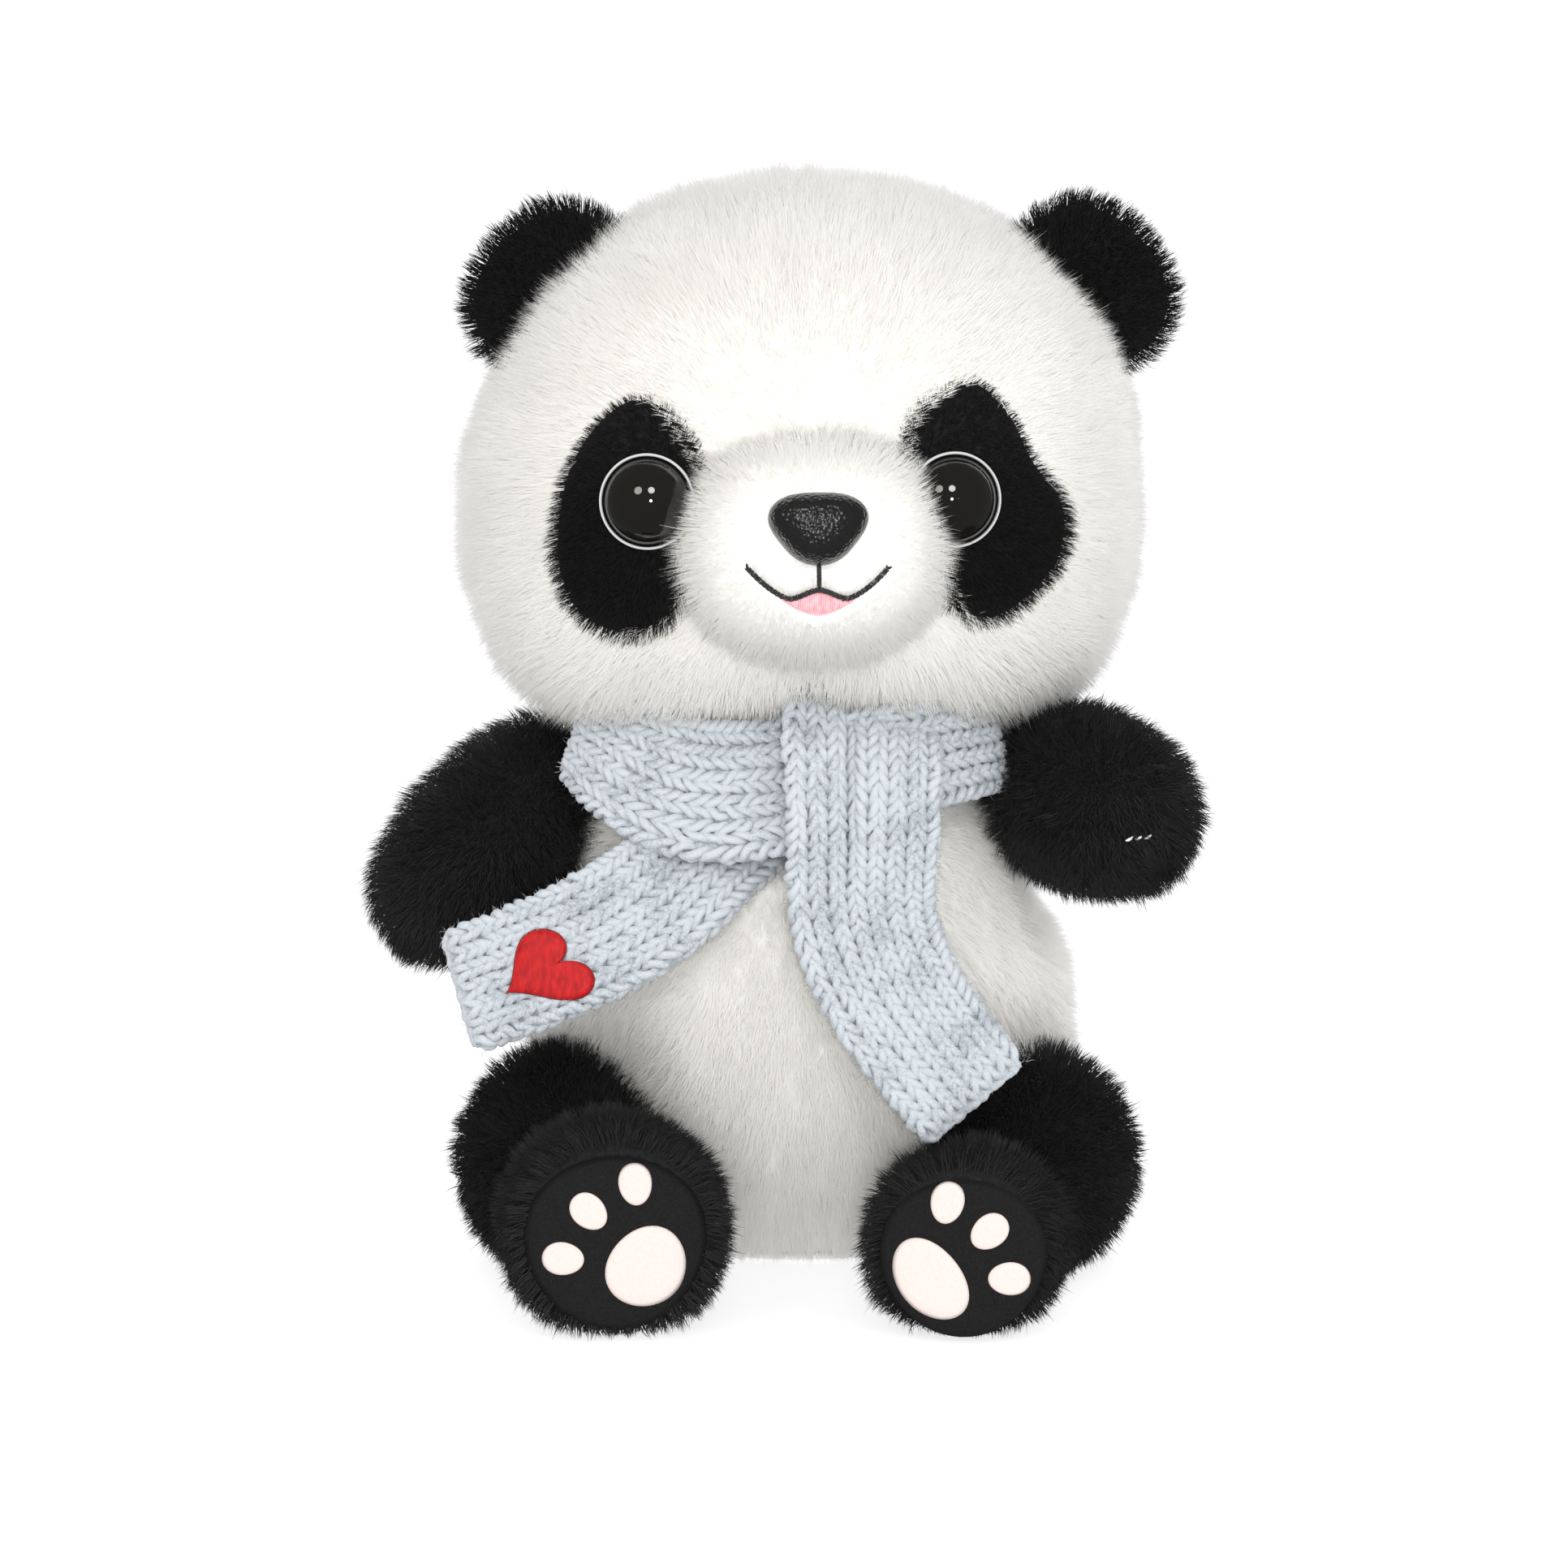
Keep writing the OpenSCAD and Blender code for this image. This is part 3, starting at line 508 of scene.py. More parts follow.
def grow(name, form, part, pile, body, comb, seed, keep=None, share=None):
    """Covers a panel with pile. comb(points) is the way it is brushed, keep(points) says where it grows,
    and share(points) scales its length."""
    rng = np.random.default_rng(seed)
    roots, normals = scatter(form, form.panel(part), pile.density, rng)
    if keep is not None:
        kept = keep(roots)
        roots, normals = roots[kept], normals[kept]
    count = len(roots)
    flow = comb(roots)
    flow = flow - dots(flow, normals)[:, None] * normals
    flow = unit(flow)
    wave = waviness(roots, 14, seed) + 0.6 * waviness(roots, 5, seed + 1)
    loose = rng.random(count) < 0.1
    length = pile.length * rng.uniform(0.75, 1.15, count) * (1 if share is None else share(roots))
    length = length * (1 + 0.25 * loose)
    lying = math.sqrt(1 - pile.height ** 2)
    stray = rng.normal(0, pile.stray, (count, 3)) * (1 + 1.6 * loose)[:, None]
    first = unit(normals * (pile.height + 0.15) + flow * lying * 0.8
                 + (wave * pile.wave * 0.6 + stray) * lying)
    second = unit(normals * (pile.height - 0.2) + flow * lying * 1.2 + (wave * pile.wave + stray) * lying)
    middles = roots + first * length[:, None] * 0.55
    tips = middles + second * length[:, None] * 0.45
    leader = tuft_leaders(roots, pile.tuft, rng)
    pull = pile.gather * rng.uniform(0.6, 1.2, count)[:, None]
    middles = mix(middles, middles[leader], pull * 0.35)
    tips = mix(tips, tips[leader], pull)
    roots = roots - normals * 0.6
    # Pile that meets the table is pressed flat on it
    for points in (roots, middles, tips):
        points[:, 2] = np.maximum(points[:, 2], TABLE_CLEARANCE)
    width = pile.width * rng.uniform(0.7, 1.25, count)
    order = rng.permutation(count)
    pieces = []
    piece_count = math.ceil(count / STRANDS_A_PIECE[pile.bent])
    for number, chosen in enumerate(np.array_split(order, piece_count), 1):
        points, faces, shade = strand_mesh(roots[chosen], middles[chosen], tips[chosen], normals[chosen],
                                           width[chosen], pile.follow, rng, pile.bent)
        piece = mesh_piece(f"{name}_{number}", points, faces, pile.material, body, shade)
        pieces.append(piece)
    return pieces


# ---- The forms, as in part.scad ----

def egg(direction, half, blunt):
    """half = [half width, front depth, back depth, rise, drop]"""
    width, front, back, rise, drop = half
    e = 2 / blunt
    x, y, z = direction.T
    return columns_of(width * power(x, e), np.where(y < 0, front, back) * power(y, e),
                      np.where(z > 0, rise, drop) * power(z, e))


def shrunk(half, inset):
    return [h - inset for h in half]


HEAD_YAW = 3
HEAD_Z = 184
HEAD_HALF = [82, 60, 60, 83, 50]
HEAD_BLUNT, CHEEK_BLUNT = 2.2, 2.8
NECK_R, NECK_Z, NECK_ROOM = 24, 139.5, 3.2
EYE_YAW, EYE_PITCH = 9, 5
EYE_SEAT = np.array([37, -53, 197])
# The two eyes aren't sewn at quite the same distance from the middle of the face
EYE_X = {LEFT: 33.6, RIGHT: 39.4}
EYE_D = 24
EYE_BASE = 2.6


def direction(yaw, pitch):
    """Unit vector out of the face, turned to the left by yaw and up by pitch, degrees."""
    yaw, pitch = math.radians(yaw), math.radians(pitch)
    return np.array([math.sin(yaw) * math.cos(pitch), -math.cos(yaw) * math.cos(pitch), math.sin(pitch)])


EYE_OUT = direction(EYE_YAW, EYE_PITCH)


def head_blunt(down):
    """The head is fuller, so blunter, from its middle down to the cheeks."""
    return mix(HEAD_BLUNT, CHEEK_BLUNT, smooth(down))


def eye_plane_y(x, z):
    return (EYE_OUT[0] * np.abs(x) + EYE_OUT[2] * z - EYE_OUT @ EYE_SEAT) / -EYE_OUT[1]


def eye_seat(side):
    """Middle of an eye's base on the eye plane, as if it were the left eye."""
    x, z = EYE_X[side], EYE_SEAT[2]
    return np.array([x, eye_plane_y(x, z), z])


def face_y(x, z, lift=0.0):
    """Front of the face at x, z in the head's own frame."""
    tall = np.where(z > HEAD_Z, HEAD_HALF[3], HEAD_HALF[4])
    blunt = head_blunt((HEAD_Z - z) / 40)
    left_over = 1 - np.abs(x / HEAD_HALF[0]) ** blunt - np.abs((z - HEAD_Z) / tall) ** blunt
    skull = -HEAD_HALF[1] * np.maximum(0, left_over) ** (1 / blunt)
    return soft_max(skull, eye_plane_y(x, z), 2.5) - lift


def head_place(d, inset):
    p = egg(d, shrunk(HEAD_HALF, inset), head_blunt(-1.3 * d[:, 2])) + [0, 0, HEAD_Z]
    x, y, z = p.T
    x = x + 2.5 * smooth((z - 195) / 30)
    y = np.where(y < 0, soft_max(y, eye_plane_y(x, z) + inset, 2.5), y)
    # The seam that joins the cheeks under the chin draws in a little
    y = y + 1.6 * hump(x, 0, 3.5) * smooth((168 - z) / 14) * (y < -20)
    reach = (NECK_R + NECK_ROOM + inset) ** 2 - x * x - y * y
    z = np.where((reach > 0) & (z < HEAD_Z), np.maximum(z, NECK_Z + np.sqrt(np.maximum(reach, 0))), z)
    return turned_z(columns_of(x, y, z), HEAD_YAW)


MUZZLE_CENTRE = np.array([0, -48, 186])
MUZZLE_HALF = [30.5, 33, 33, 25, 26]
MUZZLE_BLUNT = 2.2
NOSE_PITCH = 15
NOSE_OUT = direction(0, NOSE_PITCH)
NOSE_SEAT = np.array([0, -77.5, 194])


def nose_plane_y(z):
    return (NOSE_OUT[2] * z - NOSE_OUT @ NOSE_SEAT) / -NOSE_OUT[1]


def muzzle_y(x, z, lift=0.0):
    """Front of the muzzle at x, z in the head's own frame."""
    tall = np.where(z > MUZZLE_CENTRE[2], MUZZLE_HALF[3], MUZZLE_HALF[4])
    left_over = (1 - np.abs(x / MUZZLE_HALF[0]) ** MUZZLE_BLUNT
                 - np.abs((z - MUZZLE_CENTRE[2]) / tall) ** MUZZLE_BLUNT)
    bulge = MUZZLE_CENTRE[1] - MUZZLE_HALF[1] * np.maximum(0, left_over) ** (1 / MUZZLE_BLUNT)
    return np.maximum(bulge, nose_plane_y(z)) - lift


def muzzle_place(d, inset):
    p = egg(d, shrunk(MUZZLE_HALF, inset), MUZZLE_BLUNT) + MUZZLE_CENTRE
    x, y, z = p.T
    y = soft_max(y, nose_plane_y(z) + inset, 1.0)
    # The muzzle's sewn edge runs out softly into the face
    y = -soft_max(-y, -face_y(x, z, -2.5 if inset else 0.8), 7.0)
    return turned_z(columns_of(x, y, z), HEAD_YAW)


def to_head(p):
    return turned_z(p, HEAD_YAW)


def from_head(p):
    return turned_z(p, -HEAD_YAW)


EAR_LEAN = 49
EAR_HALF = [21, 6, 6, 17.5]
EAR_CENTRE = {LEFT: [72.5, 0, 242], RIGHT: [-61.5, 0, 241.5]}
EAR_ROOT = {LEFT: 11, RIGHT: 8}


def ear_out(side):
    lean = math.radians(EAR_LEAN)
    return np.array([side * math.sin(lean), 0, math.cos(lean)])


def ear_place(side):
    out = ear_out(side)
    across = np.array([out[2], 0, -out[0]])

    def place(d, inset):
        # The root runs further down at its two ends, where the real ear is sewn round the head's curve
        p = egg(d, shrunk([*EAR_HALF, EAR_ROOT[side] + 3], inset), 2.3)
        p[:, 1] *= 1 - 0.25 * smooth(p[:, 2] / EAR_HALF[3])
        p[:, 1] += 1.8 * smooth(1 - np.hypot(p[:, 0], p[:, 2]) / 13) * (p[:, 1] < 0)
        p = p[:, :1] * across + p[:, 1:2] * Y_AXIS + p[:, 2:] * out + EAR_CENTRE[side]
        return to_head(p)
    return place


TORSO_Z = 50
TORSO_HALF = [66, 58, 52, 92, 56]
TORSO_TOP = 137
SEAT_THICK = 2.5
SHOULDER_OUT = unit([0.97, 0, 0.22])
SHOULDER_AT = np.array([51, 0, 104])
HIP_OUT = unit([0.736, -0.677, 0])
HIP_AT = np.array([49, -32, 29])
JOINT_GAP = 0.4


def torso_place(d, inset):
    """The belly is full between the limbs, and pressed flat only where an arm or a leg is sewn on."""
    p = egg(d, shrunk(TORSO_HALF, inset), 2.3) + [0, 0, TORSO_Z]
    side = np.where(p[:, :1] < 0, RIGHT, LEFT) * np.array([[1.0, 0, 0]]) + [0, 1, 1]
    p = p * side
    by_arm = smooth((p[:, 1] + 46) / 18) * smooth((p[:, 2] - 70) / 18)
    q = mix(p, pressed(p, SHOULDER_OUT, SHOULDER_OUT @ SHOULDER_AT - inset), by_arm[:, None])
    by_leg = 1 - smooth((p[:, 2] - 54) / 20)
    q = mix(q, pressed(q, HIP_OUT, HIP_OUT @ HIP_AT - inset), by_leg[:, None]) * side
    x, y, z = q.T
    z = np.clip(z, SEAT_THICK + 0.3 + inset, TORSO_TOP - inset)
    reach = (NECK_R + NECK_ROOM + inset) ** 2 - x * x - y * y
    z = np.where((reach > 0) & (z > TORSO_Z), np.minimum(z, NECK_Z - np.sqrt(np.maximum(reach, 0))), z)
    return columns_of(x, y, z)


def tail_place(d, inset):
    return egg(d, shrunk([11, 11, 11, 11, 11], inset), 2.1) + [0, 61, 24]


ARM_R, ARM_TIP, ARM_HEEL, ARM_MIDDLE, ARM_BLUNT = 18.5, 37, 33, 31, 2.3
ARM_ROOT = {LEFT: np.array([56.5, -7, 120]), RIGHT: np.array([-56, -2, 123.4])}
ARM_ALONG = {LEFT: unit([0.43, -0.88, -0.02]), RIGHT: unit([-0.62, -0.58, -0.53])}


def arm_place(side):
    along = ARM_ALONG[side]
    outer = unit(np.cross(along, [0, 0, side]))
    across = np.cross(outer, along)

    def place(d, inset):
        p = egg(d, shrunk([ARM_R, ARM_R - 1, ARM_R - 1, ARM_TIP, ARM_HEEL], inset), ARM_BLUNT)
        p = p[:, :1] * across + p[:, 1:2] * outer + p[:, 2:] * along + ARM_ROOT[side] + along * ARM_MIDDLE
        q = pressed(mirrored(p, side), -SHOULDER_OUT, -(SHOULDER_OUT @ SHOULDER_AT + JOINT_GAP + inset))
        return mirrored(q, side)
    return place


SOLE_YAW, SOLE_PITCH = 4, 9
SOLE_OUT = direction(-SOLE_YAW, SOLE_PITCH)
LEG_R = 26.5
FOOT_R = {LEFT: 21.2, RIGHT: 24.5}
SOLE_R = {LEFT: 20, RIGHT: 22}
LEG_BACK_Y, THIGH_X = -12, 60
FOOT_Y = {LEFT: -99, RIGHT: -97}
FOOT_X = {LEFT: 39, RIGHT: 44.5}
ANKLE_WAIST, ANKLE_AT, HIP_ROUND, TOE_ROUND, LIP = 4, 0.62, 0.34, 0.86, 3


def leg_radius(s, side):
    return mix(LEG_R, FOOT_R[side], smooth(s * 1.3)) - ANKLE_WAIST * hump(s, ANKLE_AT, 0.2)


def leg_middle(s, side):
    """Middle line of a leg, as if it were the left one."""
    return columns_of(mix(THIGH_X, FOOT_X[side], smooth(s)), mix(LEG_BACK_Y, FOOT_Y[side], s),
                      leg_radius(s, side) + 0.6)


def leg_place(side):
    """The leg tube as a closed form: its front pole is the middle of the sole and its back pole the hip."""
    across = unit(np.cross(SOLE_OUT, -Z_AXIS))
    up = np.cross(across, -SOLE_OUT)

    def place(d, inset):
        rise = np.degrees(np.arcsin(np.clip(-d[:, 1], -1, 1)))
        turn = np.arctan2(d[:, 2], d[:, 0] * side)
        s = np.clip(mix(0.5, 1.0, (rise + 8) / 74), 0, 1)
        s = np.where(rise < -8, mix(0, 0.5, (rise + 90) / 82), s)
        over = np.clip((rise - 66) / 24, 0, 1)
        taper = np.where(s < HIP_ROUND, np.sqrt(np.maximum(0, 1 - (1 - s / HIP_ROUND) ** 2)), 1)
        lip = np.where(s > TOE_ROUND, LIP * ((s - TOE_ROUND) / (1 - TOE_ROUND)) ** 2, 0)
        r = np.maximum(0, leg_radius(s, side) * taper - lip - inset) * (1 - over)
        ring = np.cos(turn)[:, None] * across + np.sin(turn)[:, None] * up
        p = leg_middle(s, side) + r[:, None] * ring - SOLE_OUT * np.minimum(over * 6, 1.5)[:, None]
        p[:, 2] = np.maximum(p[:, 2], inset + 0.4)
        q = pressed(p, -HIP_OUT, -(HIP_OUT @ HIP_AT + JOINT_GAP + inset))
        return mirrored(q, side)
    return place


# ---- Places on the head ----

def placed(origin, out, up=Z_AXIS, turn=0.0):
    """Rows x, y, z and origin of a small frame whose +Z points out."""
    z = unit(out)
    x = unit(np.cross(up, z))
    y = np.cross(z, x)
    turn = math.radians(turn)
    return [x * math.cos(turn) + y * math.sin(turn), y * math.cos(turn) - x * math.sin(turn), z,
            np.asarray(origin, float)]


def in_frame(axes, p):
    p = np.asarray(p, float)
    return p[..., :1] * axes[0] + p[..., 1:2] * axes[1] + p[..., 2:] * axes[2] + axes[3]


def eye_frame(side):
    return placed(to_head(mirrored(eye_seat(side), side)), to_head(mirrored(EYE_OUT, side)))


def turned_profile(profile, axes, columns=64):
    """Lathed solid: profile is (radius, height) pairs from the axis at the bottom to the axis on top."""
    profile = np.asarray(profile, float)
    angle = np.arange(columns) * 2 * math.pi / columns
    rings = [columns_of(r * np.cos(angle), r * np.sin(angle), h + 0 * angle) for r, h in profile[1:-1]]
    ends = np.array([[0, 0, profile[0][1]], [0, 0, profile[-1][1]]])
    points = np.concatenate([*rings, ends])
    count = columns * len(rings)
    return (in_frame(axes, points), ring_quads(columns, len(rings)),
            np.concatenate([fan(columns, 0, count, flip=True), fan(columns, count - columns, count + 1)]))


def arc(radius, start, end, steps, middle=(0, 0)):
    angle = np.radians(np.linspace(start, end, steps))
    return [(middle[0] + radius * math.cos(a), middle[1] + radius * math.sin(a)) for a in angle]


def make_eye(label, side):
    axes = eye_frame(side)
    base_r, dome_h = EYE_D / 2 - 1.5, 7.0
    dome_r = (base_r ** 2 + dome_h ** 2) / (2 * dome_h)
    steep = math.degrees(math.asin(min(1, base_r / dome_r)))
    dome = arc(dome_r, 90 - steep, 90, 20, (0, EYE_BASE + 1.0 + dome_h - dome_r))
    profile = [(0, -8), (2.6, -8), (2.6, EYE_BASE - 0.2), (base_r - 0.6, EYE_BASE - 0.2),
               (base_r, EYE_BASE + 0.3),
               *dome[:-1], (0, dome[-1][1])]
    points, quads, fans = turned_profile(profile, axes, 72)
    piece = mesh_piece(f"glossy_eye_{label}", points, [quads, fans], EYE_GLOSS, "head")
    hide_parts(f"eye_dome_{label}")
    rim_r, tube = EYE_D / 2 - 0.7, 0.36
    angle = np.radians(np.arange(0, 360, 5))
    path = in_frame(axes, columns_of(rim_r * np.cos(angle), rim_r * np.sin(angle),
                                     EYE_BASE + 0.9 + 0 * angle))
    section = np.radians(np.arange(0, 360, 30))
    out = unit(path - axes[3] - dots(path - axes[3], axes[2])[:, None] * axes[2])
    ring = (path[:, None] + tube * np.cos(section)[None, :, None] * out[:, None]
            + 0.7 * np.sin(section)[None, :, None] * axes[2])
    count = len(angle) * len(section)
    quads = ring_quads(len(section), len(angle) + 1) % count
    piece = mesh_piece(f"eye_rim_{label}", ring.reshape(-1, 3), [quads[:, ::-1]], EYE_RIM, "head")
    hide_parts(f"eye_ring_{label}")


# Outline of each sewn patch, x outwards and z up in the head's own frame; the two are not alike
PATCH_OUTLINE = {
    RIGHT: [[42, 221], [33, 217], [27, 207], [27, 195], [29, 180], [33, 170], [40, 165], [48, 164.5],
            [57, 169.5],
            [61, 179], [61, 191], [58, 204], [51, 215]],
    LEFT: [[39, 225], [48, 217], [54, 205], [61, 195.5], [62.5, 188], [60, 179], [50, 170], [41, 167],
           [34, 171],
           [30, 183], [26, 196], [22, 207], [23, 216], [30, 222]]}
PATCH_CENTRE = np.array([43, 194])


def patch_reach(side, angle):
    """How far the outline lies from the patch's centre, by angle."""
    outline = catmull(np.array(PATCH_OUTLINE[side], float), 6, True) - PATCH_CENTRE
    at = np.arctan2(outline[:, 1], outline[:, 0])
    order = np.argsort(at)
    return np.interp(angle, at[order], np.linalg.norm(outline, axis=1)[order], period=2 * math.pi)


def in_patch(p, side):
    """Below 1 inside the patch's outline, for points in the head's own frame."""
    x, z = p[:, 0] * side - PATCH_CENTRE[0], p[:, 2] - PATCH_CENTRE[1]
    return np.where(p[:, 1] < 0, np.hypot(x, z) / patch_reach(side, np.arctan2(z, x)), 9.0)


def patch_place(side):
    def place(d, inset):
        # d's front half is the face of the patch and its back half lies under it
        angle, size = np.arctan2(d[:, 2], d[:, 0] * side), np.hypot(d[:, 0], d[:, 2])
        reach = patch_reach(side, angle) * size
        x, z = PATCH_CENTRE[0] + reach * np.cos(angle), PATCH_CENTRE[1] + reach * np.sin(angle)
        lift = np.where(d[:, 1] < 0, 0.5 + 1.1 * np.minimum(1, -3 * d[:, 1]), 0.3)
        p = columns_of(x, face_y(x, z, 0) - lift, z)
        return to_head(mirrored(p, side))
    return place


def in_eye(p, side, margin):
    """Points in the head's own frame that lie under an eye."""
    away = mirrored(p, side) - eye_seat(side)
    flat = away - (away @ EYE_OUT)[:, None] * EYE_OUT
    return (np.linalg.norm(flat, axis=1) < EYE_D / 2 + margin) & (p[:, 1] < 0)


def in_muzzle(p, margin):
    x, z = p[:, 0], p[:, 2] - MUZZLE_CENTRE[2]
    tall = np.where(z > 0, MUZZLE_HALF[3], MUZZLE_HALF[4]) + margin
    return (p[:, 1] < -30) & (np.hypot(x / (MUZZLE_HALF[0] + margin), z / tall) < 1)


def make_nose():
    axes = placed(to_head(NOSE_SEAT), to_head(NOSE_OUT))

    def place(d, inset):
        angle, size = np.arctan2(d[:, 2], d[:, 0]), np.hypot(d[:, 0], d[:, 2])
        lobe = 1 + 0.09 * np.cos(3 * angle + math.pi * 1.5)
        wide, tall = 11.6, 8.7
        bulge = np.where(d[:, 1] < 0, 8.6, 1.5) * np.abs(d[:, 1]) ** 0.85
        reach = size ** 0.8 * lobe
        flat = columns_of(wide * reach * np.cos(angle), tall * reach * np.sin(angle) + 0.3,
                          np.where(d[:, 1] < 0, 1.6 + bulge, 1.6 - bulge))
        return in_frame(axes, flat)
    form = Form(place, 64, 18)
    piece = mesh_piece("nose_moulding", form.points, [form.quads, form.back_fan, form.front_fan],
                       NOSE_PLASTIC, "head")
    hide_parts("nose")


def stitches_along(path, length, radius, lean, spacing):
    """Short overlapping stitches along a path of points: each a spindle turned a little off the path."""
    steps = np.linalg.norm(np.diff(path, axis=0), axis=1)
    travelled = np.append(0, np.cumsum(steps))
    parts = []
    for number, at in enumerate(np.arange(0, travelled[-1], spacing)):
        middle = np.array([np.interp(at, travelled, path[:, k]) for k in range(3)])
        ahead = np.array([np.interp(at + 0.4, travelled, path[:, k]) for k in range(3)]) - middle
        ahead = unit(ahead) if np.linalg.norm(ahead) > 1e-6 else unit(path[-1] - path[-2])
        sideways = unit(np.cross(ahead, Y_AXIS))
        line = unit(ahead + sideways * lean * (1 if number % 2 else -1))
        t = np.linspace(-1, 1, 7)
        spindle = middle + line * t[:, None] * length / 2 - Y_AXIS * (0.15 * (1 - t * t))[:, None]
        rings = tube_rings(spindle, radius * np.sqrt(np.maximum(0.06, 1 - t ** 2)), 6, start=Y_AXIS)
        parts.append(tube_mesh(rings))
    return parts


SMILE_HALF, SMILE_Z, SMILE_RISE, LIP_RISE = 16.8, 177.7, 7.0, 2.2
TONGUE_HALF, TONGUE_LOW = 9.0, 173.2


def smile_z(x):
    """Low to either side of the middle, with a small peak between and the ends turned up."""
    u = np.abs(x) / SMILE_HALF
    return SMILE_Z + SMILE_RISE * np.maximum(0, (u - 0.4) / 0.6) ** 1.5 + LIP_RISE * (1 - smooth(u / 0.42))


def tongue_z(x):
    """Lower edge of the tongue."""
    return TONGUE_LOW + (SMILE_Z - 0.3 - TONGUE_LOW) * np.minimum(1, np.abs(x) / TONGUE_HALF) ** 1.7


def make_mouth():
    lift = 2.3
    x = np.linspace(-SMILE_HALF, SMILE_HALF, 50)
    smile = to_head(columns_of(x, muzzle_y(x, smile_z(x), lift), smile_z(x)))
    z = np.linspace(186.5, smile_z(0) + 0.4, 10)
    line = to_head(columns_of(0 * z, muzzle_y(0 * z, z, lift), z))
    points, faces = joined(stitches_along(smile, 2.4, 0.4, 0.6, 0.6)
                           + stitches_along(line, 2.2, 0.4, 0.5, 0.6))
    piece = mesh_piece("smile_embroidery", points, faces, BLACK_THREAD, "head")
    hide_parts("mouth_stitching")
    # The tongue is satin stitch: upright threads side by side, longest in the middle
    parts = []
    for column in np.linspace(-TONGUE_HALF, TONGUE_HALF, 34):
        z = np.linspace(smile_z(column) - 0.2, min(tongue_z(column), smile_z(column) - 0.8), 6)
        y = muzzle_y(column + 0 * z, z, lift - 0.35)
        radius = 0.36 * np.array([0.5, 1, 1, 1, 0.9, 0.4])
        parts.append(tube_mesh(tube_rings(to_head(columns_of(column, y, z)), radius, 6, start=Y_AXIS)))
    points, faces = joined(parts)
    piece = mesh_piece("tongue_embroidery", points, faces, PINK_SATIN, "head")
    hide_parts("tongue_patch")


def near_mouth(p):
    """Points in the head's own frame where the stitching presses the pile flat."""
    x, z = p[:, 0], p[:, 2]
    on_smile = (np.abs(x) < SMILE_HALF + 1) & (np.abs(z - smile_z(x)) < 1.2)
    on_tongue = (np.abs(x) < TONGUE_HALF + 0.5) & (z < smile_z(x)) & (z > tongue_z(x) - 0.8)
    on_line = (np.abs(x) < 1.0) & (z < 187) & (z > SMILE_Z)
    return on_smile | on_tongue | on_line


def make_head():
    form = Form(head_place, 96, 30)

    def comb(p):
        own = from_head(p)
        away = own - [0, -78, 190]
        down = smooth((own[:, 1] + 20) / 50)[:, None]
        chin = smooth((172 - own[:, 2]) / 16)[:, None] * [0, 0.75, 0]
        return to_head(unit(away) * (1 - chin) * (1 - 0.6 * down) - Z_AXIS * (0.25 + 0.7 * down))

    def keep(p):
        own = from_head(p)
        covered = in_muzzle(own, -4)
        for side in (LEFT, RIGHT):
            covered |= (in_patch(own, side) < 0.95) | in_eye(own, side, 0)
        neck = (np.hypot(p[:, 0], p[:, 1]) < NECK_R + 7) & (p[:, 2] < HEAD_Z - 15)
        return ~covered & ~neck

    def share(p):
        own = from_head(p)
        away = np.linalg.norm(own - [0, -70, 190], axis=1)
        chin = smooth((168 - own[:, 2]) / 14) * smooth(-own[:, 1] / 20)
        return 0.62 + 0.38 * smooth((away - 25) / 45) + 0.35 * chin

    for part in ("front", "back"):
        skin = form.half(f"head_{part}_pelt", part, 2.6, WHITE_BACKING, "head")
        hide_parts(f"head_{part}_skin")
        grow(f"head_{part}_pile", form, part, LONG_WHITE, "head", comb, 11 + (part == "back"), keep, share)


def make_muzzle():
    form = Form(muzzle_place, 64, 18)

    def comb(p):
        return to_head((from_head(p) - [0, -85, 192]) * [1, 0.6, 1])

    def keep(p):
        own = from_head(p)
        away = own - NOSE_SEAT
        flat = away - (away @ NOSE_OUT)[:, None] * NOSE_OUT
        on_nose = np.hypot(flat[:, 0] / 11.5, flat[:, 2] / 8) < 1
        behind = own[:, 1] > face_y(own[:, 0], own[:, 2], 0.2)
        return ~(on_nose & (own[:, 1] < -60)) & ~behind & ~near_mouth(own)

    skin = form.half("muzzle_pelt", "front", 2.4, WHITE_BACKING, "head")
    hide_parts("muzzle_skin")
    grow("muzzle_pile", form, "all", SHORT_WHITE, "head", comb, 21, keep,
         lambda p: 0.62 + 0.85 * smooth((from_head(p)[:, 1] + 74) / 16))


def make_patch(label, side):
    form = Form(patch_place(side), 56, 12)

    def comb(p):
        own = mirrored(from_head(p), side)
        return to_head(mirrored((own - eye_seat(side)) * [1, 0, 1] + [6, 0, -5], side))

    def keep(p):
        own = from_head(p)
        return ~in_eye(own, side, -2.5) & ~in_muzzle(own, -2)

    skin = form.whole(f"eye_patch_pelt_{label}", BLACK_BACKING, "head")
    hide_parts(f"eye_patch_{label}")
    grow(f"eye_patch_pile_{label}", form, "front", SHORT_BLACK, "head", comb, 31 + side, keep,
         lambda p: 0.6 + 0.4 * smooth((212 - p[:, 2]) / 20))


def make_ear(label, side):
    form = Form(ear_place(side), 48, 12)
    out = to_head(ear_out(side))
    body = f"ear_{label}"
    for part in ("front", "back"):
        skin = form.half(f"ear_{part}_pelt_{label}", part, 2.0, BLACK_BACKING, body)
        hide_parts(f"ear_{part}_skin_{label}")
        grow(f"ear_{part}_pile_{label}", form, part, EAR_BLACK, body,
             lambda p: out + unit(p - form.points.mean(0)) * 0.8, 41 + side + (10 if part == "back" else 0))
    make_filling(f"ear_batting_{label}", ear_place(side), body)


# ---- Body ----

